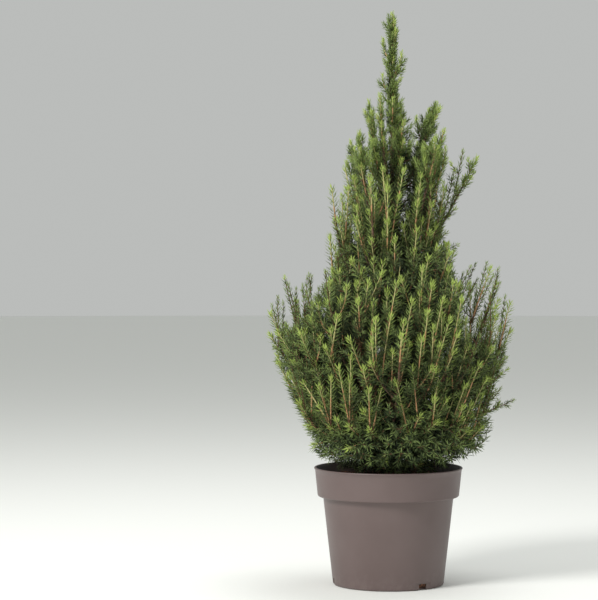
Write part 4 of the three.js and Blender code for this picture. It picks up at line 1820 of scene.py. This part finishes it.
# ---------------------------------------------------------------- twigs
@dataclass
class Paths:
    """Many open paths in one object, with a few numbers stored at each point."""

    points: list[Array] = field(default_factory=list)
    numbers: dict[str, list[Array]] = field(default_factory=dict)

    def add(self, points: Array, **numbers: Array) -> None:
        """Adds one path, in millimetres, with its numbers."""
        self.points.append(points)
        for name, values in numbers.items():
            self.numbers.setdefault(name, []).append(np.asarray(values, float))

    def shared_out(self, triangles_per_mm: float, limit: int) -> list["Paths"]:
        """Deals the paths to as many parts as keep each piece small.

        Args:
            triangles_per_mm: what a millimetre of path costs.
            limit: most triangles that a piece may have.

        Returns:
            The parts.
        """
        length = sum(float(np.linalg.norm(np.diff(p, axis=0), axis=1).sum()) for p in self.points)
        count = math.ceil(length * triangles_per_mm / limit)
        return [Paths(self.points[i::count], {key: rows[i::count] for key, rows in self.numbers.items()})
                for i in range(count)]

    def carrier(self, name: str) -> Piece:
        """Makes the object of bare edges that a node tree runs on.

        Args:
            name: the object's name.

        Returns:
            The object, with each number as a point attribute.
        """
        counts = [len(p) for p in self.points]
        starts = np.concatenate([[0], np.cumsum(counts)[:-1]])
        edges = np.concatenate([
            np.stack([np.arange(s, s + n - 1), np.arange(s + 1, s + n)], 1) for s, n in zip(starts, counts)])
        mesh = bpy.data.meshes.new(name)
        mesh.from_pydata((np.concatenate(self.points) * MM).tolist(), edges.tolist(), [])
        for key, values in self.numbers.items():
            attribute = mesh.attributes.new(key, "FLOAT", "POINT")
            attribute.data.foreach_set("value", np.concatenate(values).astype(np.float32))
        return linked(name, mesh)


@dataclass
class Twigs:
    """The thin wood of every shoot: tan below, pale green at the tip, red-brown where it is old."""

    crown: Crown
    sides: int = 3
    foot: ByOrder = by_order(1.45, 1.4, 0.85)
    tip: ByOrder = by_order(0.7, 0.65, 0.5)
    pale_share: float = 0.42
    old_share: float = 0.16
    brown_share: float = 0.35
    worn: float = 0.7

    def recipe(self) -> GeometryRecipe:
        """The tree that turns paths into round twigs.

        Returns:
            The recipe, with the inputs Sides, Thickness and Finish.
        """
        recipe = GeometryRecipe("draw_twigs")
        given = recipe.declare(Sides="Int", Thickness="Float", Finish="Material")
        sheet = recipe.sheet
        curve = sheet.add("GeometryNodeMeshToCurve", {"Mesh": given["Geometry"]})
        section = sheet.add("GeometryNodeCurvePrimitiveCircle", {"Resolution": given["Sides"], "Radius": MM})
        scale = sheet.math("MULTIPLY", sheet.attribute("radius"), given["Thickness"])
        drawn = sheet.add("GeometryNodeCurveToMesh", {
            "Curve": curve.outputs[0], "Profile Curve": section.outputs[0], "Scale": scale,
            "Fill Caps": True})
        recipe.finish(drawn.outputs[0], given["Finish"])
        return recipe

    def deal(self) -> dict[TwigTone, Paths]:
        """Cuts every shoot's wood into its colours.

        Returns:
            The paths of each tone.
        """
        dealt = {tone: Paths() for tone in TwigTone}
        for shoot in self.crown.shoots:
            worn = self.worn if shoot.sparse else 1.0
            foot, tip = self.foot[shoot.order] * worn, self.tip[shoot.order] * worn
            split = 1 - self.pale_share * (0.6 + 0.8 * shoot.chance)
            if shoot.sparse:
                pieces = [(0.0, 1.0, TwigTone.BROWN)]
            # Shoots deep inside the crown (exposure under 0.1) get the dark brown and green wood instead of
            # tan and pale: painted shade.
            elif shoot.order is Order.TWIG or shoot.exposure < 0.1:
                pieces = [(0.0, self.brown_share, TwigTone.BROWN), (self.brown_share, 1.0, TwigTone.GREEN)]
            else:
                old = self.old_share * (2.0 if shoot.order is Order.END else 1.0)
                pieces = [(0.0, old, TwigTone.BROWN), (old, split, TwigTone.TAN), (split, 1.0, TwigTone.PALE)]
            for start, end, tone in pieces:
                shares = np.linspace(start, end, path_points((end - start) * shoot.line.length))
                dealt[tone].add(shoot.line.at(shares), radius=foot + (tip - foot) * shares)
        return dealt

    def dress(self, masses: Sequence[str]) -> None:
        """Builds the twigs, one piece for each tone, and hands them in.

        Args:
            masses: the foliage nodes that twigs and needles stand for.
        """
        recipe = self.recipe()
        for tone, paths in self.deal().items():
            name = f"twigs_{tone.name.lower()}"
            finish = PlainFinish(f"twig_{tone.name.lower()}", tone.value, 0.6).build()
            piece = recipe.run(paths.carrier(name + "_paths"), name, {
                "Sides": self.sides, "Thickness": 1.0, "Finish": finish})
            piece.data.polygons.foreach_set("use_smooth", [True] * len(piece.data.polygons))
            hand_in(piece, masses)


# ---------------------------------------------------------------- needles
@dataclass
class Needles:
    """All needles, dealt out by spray to plain tones and set along the shoots."""

    crown: Crown
    length: float = 10.2
    width: float = 0.72
    closing: float = 18.0
    tip_length: float = 8.5
    plume_size: float = 0.9
    size: ByOrder = by_order(1.24, 1.24, 0.96)
    sparse_size: float = 0.84
    low_heights: Pair = (200.0, 310.0)
    low_growth: ByOrder = by_order(0.06, 0.06, 0.32)
    # How much lighter the tones of shoots at the crown's foot are dealt, as painted light.
    low_light: float = 0.24
    dull: float = 0.35
    dead: float = 0.05
    cluster_step: float = 9.5
    cluster_length: float = 6.2
    piece_limit: int = 190_000
    faces: int = 4

    def template(self) -> Piece:
        """One needle of unit length along +Z: a slim closed blade with a ridge, slightly bent."""
        points = [(0, 0, 0), (0.45, -1, 0.45), (0.45, 1, 0.45), (-0.5, 0, 1)]
        faces = [(0, 2, 1), (0, 1, 3), (0, 3, 2), (1, 2, 3)]
        return mesh_object("needle", np.array(points, float) / MM, faces, smooth=False)

    def recipe(self) -> GeometryRecipe:
        """The tree that sets needles round the shoots.

        Returns:
            The recipe, with the inputs Needle, Spacing, Length, Width, Spread, Closing, Seed
            and Finish. Each path brings share (0 at the shoot's foot, 1 at its tip) and size.
        """
        recipe = GeometryRecipe("set_needles")
        given = recipe.declare(Needle="Object", Spacing="Float", Length="Float", Width="Float",
                               Spread="Float", Closing="Float", Seed="Int", Finish="Material")
        sheet = recipe.sheet
        curve = sheet.add("GeometryNodeMeshToCurve", {"Mesh": given["Geometry"]})
        feet = sheet.add("GeometryNodeCurveToPoints", {"Curve": curve.outputs[0], "Length": given["Spacing"]},
                         mode="LENGTH")
        share, size = sheet.attribute("share"), sheet.attribute("size")

        def jitter(low: float, high: float, seed: int) -> Socket:
            """A number that differs from needle to needle."""
            return sheet.random(low, high, sheet.math("ADD", given["Seed"], float(seed)))

        index = sheet.add("GeometryNodeInputIndex").outputs[0]
        turn = sheet.math("ADD", sheet.math("MULTIPLY", index, GOLDEN_TURN), jitter(-0.4, 0.4, 1))
        closed = sheet.math("MULTIPLY", given["Closing"], sheet.math("POWER", share, 3.0))
        lean = sheet.math("ADD", sheet.math("SUBTRACT", given["Spread"], closed), jitter(-0.16, 0.16, 2))
        about = sheet.add("FunctionNodeAxisAngleToRotation", {"Axis": (0, 0, 1), "Angle": turn})
        aside = sheet.add("FunctionNodeAxisAngleToRotation", {"Axis": (0, 1, 0), "Angle": lean})
        stance = feet.outputs["Rotation"]
        for rotation in (about, aside):
            stance = sheet.add("FunctionNodeRotateRotation", {0: stance, 1: rotation.outputs[0]},
                               rotation_space="LOCAL").outputs[0]
        long = sheet.math("MULTIPLY", sheet.math("MULTIPLY", given["Length"], size), jitter(0.82, 1.1, 3))
        wide = sheet.math("MULTIPLY", sheet.math("MULTIPLY", given["Width"], size), jitter(0.85, 1.15, 4))
        scale = sheet.add("ShaderNodeCombineXYZ", {0: wide, 1: wide, 2: long})
        needle = sheet.add("GeometryNodeObjectInfo", {"Object": given["Needle"]})
        set_out = sheet.add("GeometryNodeInstanceOnPoints", {
            "Points": feet.outputs["Points"], "Instance": needle.outputs["Geometry"],
            "Rotation": stance, "Scale": scale.outputs[0]})
        recipe.finish(set_out.outputs[0], given["Finish"])
        return recipe

    def tones(self, shoot: Shoot) -> tuple[NeedleTone, ...]:
        """Picks the tones of a shoot from its foot to its tip: darker where the shoot stands deep inside the
        crown (painted shade), lighter low on the crown and in the top plumes (painted light).

        Args:
            shoot: the shoot.

        Returns:
            The tones of its even stretches, and of the tuft at its tip.
        """
        tone, twig = NeedleTone, shoot.order is Order.TWIG
        plume = self.crown.plume(float(shoot.tip[2]))
        # light is painted light and shade: the shoot's openness with a random share, lifted in the top plumes
        # and low on the crown to make up for the light that falls there.
        light = shoot.exposure + 0.3 * (shoot.chance - 0.5) + 0.35 * plume
        light += self.low_light * self.lowness(shoot)
        if plume > 0.5 and light > 0.4:
            low, tip = (tone.DEEP, tone.LEAF) if shoot.chance < self.dull else (tone.GREEN, tone.FRESH)
            return low, tone.LEAF, tone.LEAF, tip, tip if twig else tone.TIP
        if not twig and light > 0.08:
            return tone.GREEN, tone.GREEN, tone.LEAF, tone.FRESH, tone.TIP
        if light > 0.62:
            return tone.DEEP, tone.GREEN, tone.LEAF
        if light > 0.24:
            return tone.DEEP, tone.DEEP, tone.GREEN
        return tone.DEAD if shoot.chance < self.dead else tone.SHADE, tone.SHADE, tone.DEEP

    def lowness(self, shoot: Shoot) -> float:
        """1 for shoots at the crown's foot, whose needles are longer and whose tones are lifted as painted
        light, and 0 higher up.
        """
        return 1.0 - float(smoothstep(shoot.tip[2], *self.low_heights))

    def deal(self) -> dict[tuple[NeedleTone, Spray], Paths]:
        """Cuts every shoot into sprays and deals them to the tones.

        Returns:
            The paths of each tone and kind of spray.
        """
        dealt: dict[tuple[NeedleTone, Spray], Paths] = {}

        def lay(line: Line, low: float, high: float, tone: NeedleTone, spray: Spray, size: float) -> None:
            """Lays one spray along part of a line."""
            shares = np.linspace(low, high, path_points((high - low) * line.length))
            near_tip = smoothstep(shares * line.length, line.length - 11, line.length)
            sizes = size * (0.85 + 0.15 * smoothstep(shares, 0.0, 0.3)) * (1 - 0.28 * near_tip)
            dealt.setdefault((tone, spray), Paths()).add(line.at(shares), share=shares, size=sizes)

        for shoot in self.crown.shoots:
            if shoot.sparse:
                self.lay_clusters(shoot, lay)
                continue
            line = shoot.line
            plume = self.crown.plume(float(shoot.tip[2]))
            size = lerp(self.size[shoot.order], self.plume_size, plume)
            size *= 1 + self.low_growth[shoot.order] * self.lowness(shoot)
            main = shoot.order is not Order.TWIG
            spray = Spray.PLUME if plume > 0.5 else Spray.OPEN if main else Spray.FILL
            *stretches, tip_tone = self.tones(shoot)
            tip = max(1 - self.tip_length / line.length, 0.6)
            cuts = np.linspace(shoot.bare / line.length, tip, len(stretches) + 1)
            for low, high, tone in zip(cuts, cuts[1:], stretches):
                lay(line, low, high, tone, spray, size)
            lay(line, tip, 1.0, tip_tone, Spray.CLOSE if spray is Spray.OPEN else spray, size)
        for limb in self.crown.boughs + self.crown.forks:
            clothed = max(0.16, 26 / limb.line.length)
            end = max(self.crown.end_share(limb), clothed + 0.1)
            airy = [share for share in np.linspace(clothed, end, 20)[:-1]
                    if limb.tier in STRAYS or self.crown.airy_place(limb.line.at(share))]
            if airy:
                bared = Shoot(Line(limb.line.part(airy[0], end, 17)), Order.END, limb, 0.0, 0.5)
                self.lay_clusters(bared, lay)
                end = airy[0]
            if end - clothed > 0.02:
                # The needles along a limb are dealt SHADE and DEEP: painted shade for the crown's inside,
                # partly the darker green of old needles.
                middle = (clothed + end) / 2
                lay(limb.line, clothed, middle, NeedleTone.SHADE, Spray.FILL, 1.0)
                lay(limb.line, middle, end, NeedleTone.DEEP, Spray.FILL, 1.0)
        return dealt

    def lay_clusters(self, shoot: Shoot, lay: Callable[..., None]) -> None:
        """Lays the short clusters of a sparse shoot, with bare wood between them.

        Args:
            shoot: the shoot.
            lay: lays one spray along part of a line.
        """
        line = shoot.line
        size = self.sparse_size * (0.9 + 0.3 * shoot.chance)
        count = max(2, round(line.length / self.cluster_step))
        for k in range(1, count + 1):
            end = min(k / count, 1.0)
            tone = NeedleTone.LEAF if k % 3 else NeedleTone.GREEN
            if k == count:
                tone = NeedleTone.TIP if shoot.chance > 0.4 else NeedleTone.FRESH
            lay(line, end - self.cluster_length / line.length, end, tone, Spray.CLUSTER, size)

    def dress(self, masses: Sequence[str]) -> None:
        """Builds the needles, one piece for each tone, and hands them in.

        Args:
            masses: the foliage nodes that twigs and needles stand for.
        """
        recipe, needle = self.recipe(), self.template()
        finishes = {tone: PlainFinish(f"needle_{tone.name.lower()}", tone.value).build()
                    for tone in NeedleTone}
        total = 0
        dealt = sorted(self.deal().items(), key=lambda item: [kind.name for kind in item[0]])
        for (tone, spray), paths in dealt:
            spacing, spread, width = spray.value
            parts = paths.shared_out(self.faces / spacing, self.piece_limit)
            for i, part in enumerate(parts):
                name = f"needles_{tone.name}_{spray.name}".lower()
                name += f"_{chr(97 + i)}" if len(parts) > 1 else ""
                piece = recipe.run(part.carrier(name + "_paths"), name, {
                    "Needle": needle, "Spacing": spacing * MM, "Length": self.length * MM,
                    "Width": self.width * width * MM, "Spread": math.radians(spread),
                    "Closing": math.radians(self.closing), "Seed": 11 + i, "Finish": finishes[tone]})
                total += triangles(piece)
                hand_in(piece, masses)
        bpy.data.objects.remove(needle)
        log.info("needles: %d triangles in all", total)


# ---------------------------------------------------------------- the studio
@dataclass(frozen=True)
class Lamp:
    """A soft square light: its place and side in metres, its power in watts."""

    name: str
    place: Triple
    side: float
    power: float
    colour: Colour
    aim: Triple = (0.0, 0.0, 0.45)

    def build(self) -> None:
        """Makes the light, aimed at the crown."""
        lamp = bpy.data.lights.new(self.name, "AREA")
        lamp.size = self.side
        lamp.energy = self.power
        lamp.color = self.colour
        holder = linked(self.name, lamp)
        holder.location = self.place
        ray = Vector(self.aim) - Vector(self.place)
        holder.rotation_euler = ray.to_track_quat("-Z", "Y").to_euler()


@dataclass
class Studio:
    """A plain pale floor, soft lights and the camera."""

    lamps: tuple[Lamp, ...] = (
        Lamp("key", (-1.8, -1.9, 2.3), 1.0, 83.0, (1.0, 0.99, 0.97)),
        Lamp("fill", (2.2, -2.2, 1.2), 1.6, 3.0, (0.98, 0.99, 1.0)),
        Lamp("crown_light", (0.3, 0.4, 2.6), 1.3, 22.0, (1.0, 1.0, 1.0)),
    )
    distance: float = 3.12
    eye_height: float = 0.466
    lens: float = 131.9
    pan: float = 2.33
    tilt: float = 1.157
    floor_radius: float = 14.0
    floor_sides: int = 96
    floor_drop: float = 0.0002
    floor_roughness: float = 0.85
    floor_colour: Colour = (0.90, 0.91, 0.88)
    world_colour: Colour = (0.90, 0.92, 0.90)
    world_strength: float = 0.55

    def floor(self) -> None:
        """A wide pale disc just under the pot."""
        work = bmesh.new()
        bmesh.ops.create_circle(work, cap_ends=True, segments=self.floor_sides, radius=self.floor_radius)
        for vert in work.verts:
            vert.co.z = -self.floor_drop
        floor = from_work("floor", work)
        finish = PlainFinish("floor_pale", self.floor_colour, self.floor_roughness)
        floor.data.materials.append(finish.build())

    def world(self) -> None:
        """An even pale surround."""
        world = bpy.data.worlds.new("studio")
        world.use_nodes = True
        back = world.node_tree.nodes["Background"]
        back.inputs["Color"].default_value = (*self.world_colour, 1.0)
        back.inputs["Strength"].default_value = self.world_strength
        bpy.context.scene.world = world
        bpy.context.scene.view_settings.view_transform = "Standard"

    def camera(self) -> None:
        """The camera in front of the plant, turned a little to its left."""
        lens = bpy.data.cameras.new("camera")
        lens.lens = self.lens
        lens.sensor_width = 36.0
        lens.clip_end = 60.0
        camera = linked("camera", lens)
        camera.location = (0.0, -self.distance, self.eye_height)
        camera.rotation_euler = (math.radians(90 - self.tilt), 0.0, math.radians(self.pan))
        bpy.context.scene.camera = camera

    def build(self) -> None:
        """Sets up floor, surround, lights and camera."""
        self.floor()
        self.world()
        for lamp in self.lamps:
            lamp.build()
        self.camera()
        log.info("studio: floor, surround, %d lights and camera", len(self.lamps))


def write_sizes() -> None:
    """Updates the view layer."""
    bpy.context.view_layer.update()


def main() -> None:
    """Builds the dressed plant in order: pot, compost, crown, bark, twigs, needles, studio."""
    logging.basicConfig(level=logging.INFO, format="%(name)s: %(message)s")
    pot = Pot()
    pot.dress()
    Compost(pot).dress()
    crown = Crown(Trunk(), pot)
    crown.grow()
    Bark(crown).dress()
    masses = [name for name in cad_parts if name.startswith("mass_")]
    Twigs(crown).dress(masses)
    Needles(crown).dress(masses)
    Studio().build()
    write_sizes()


if __name__ == "__main__":
    main()
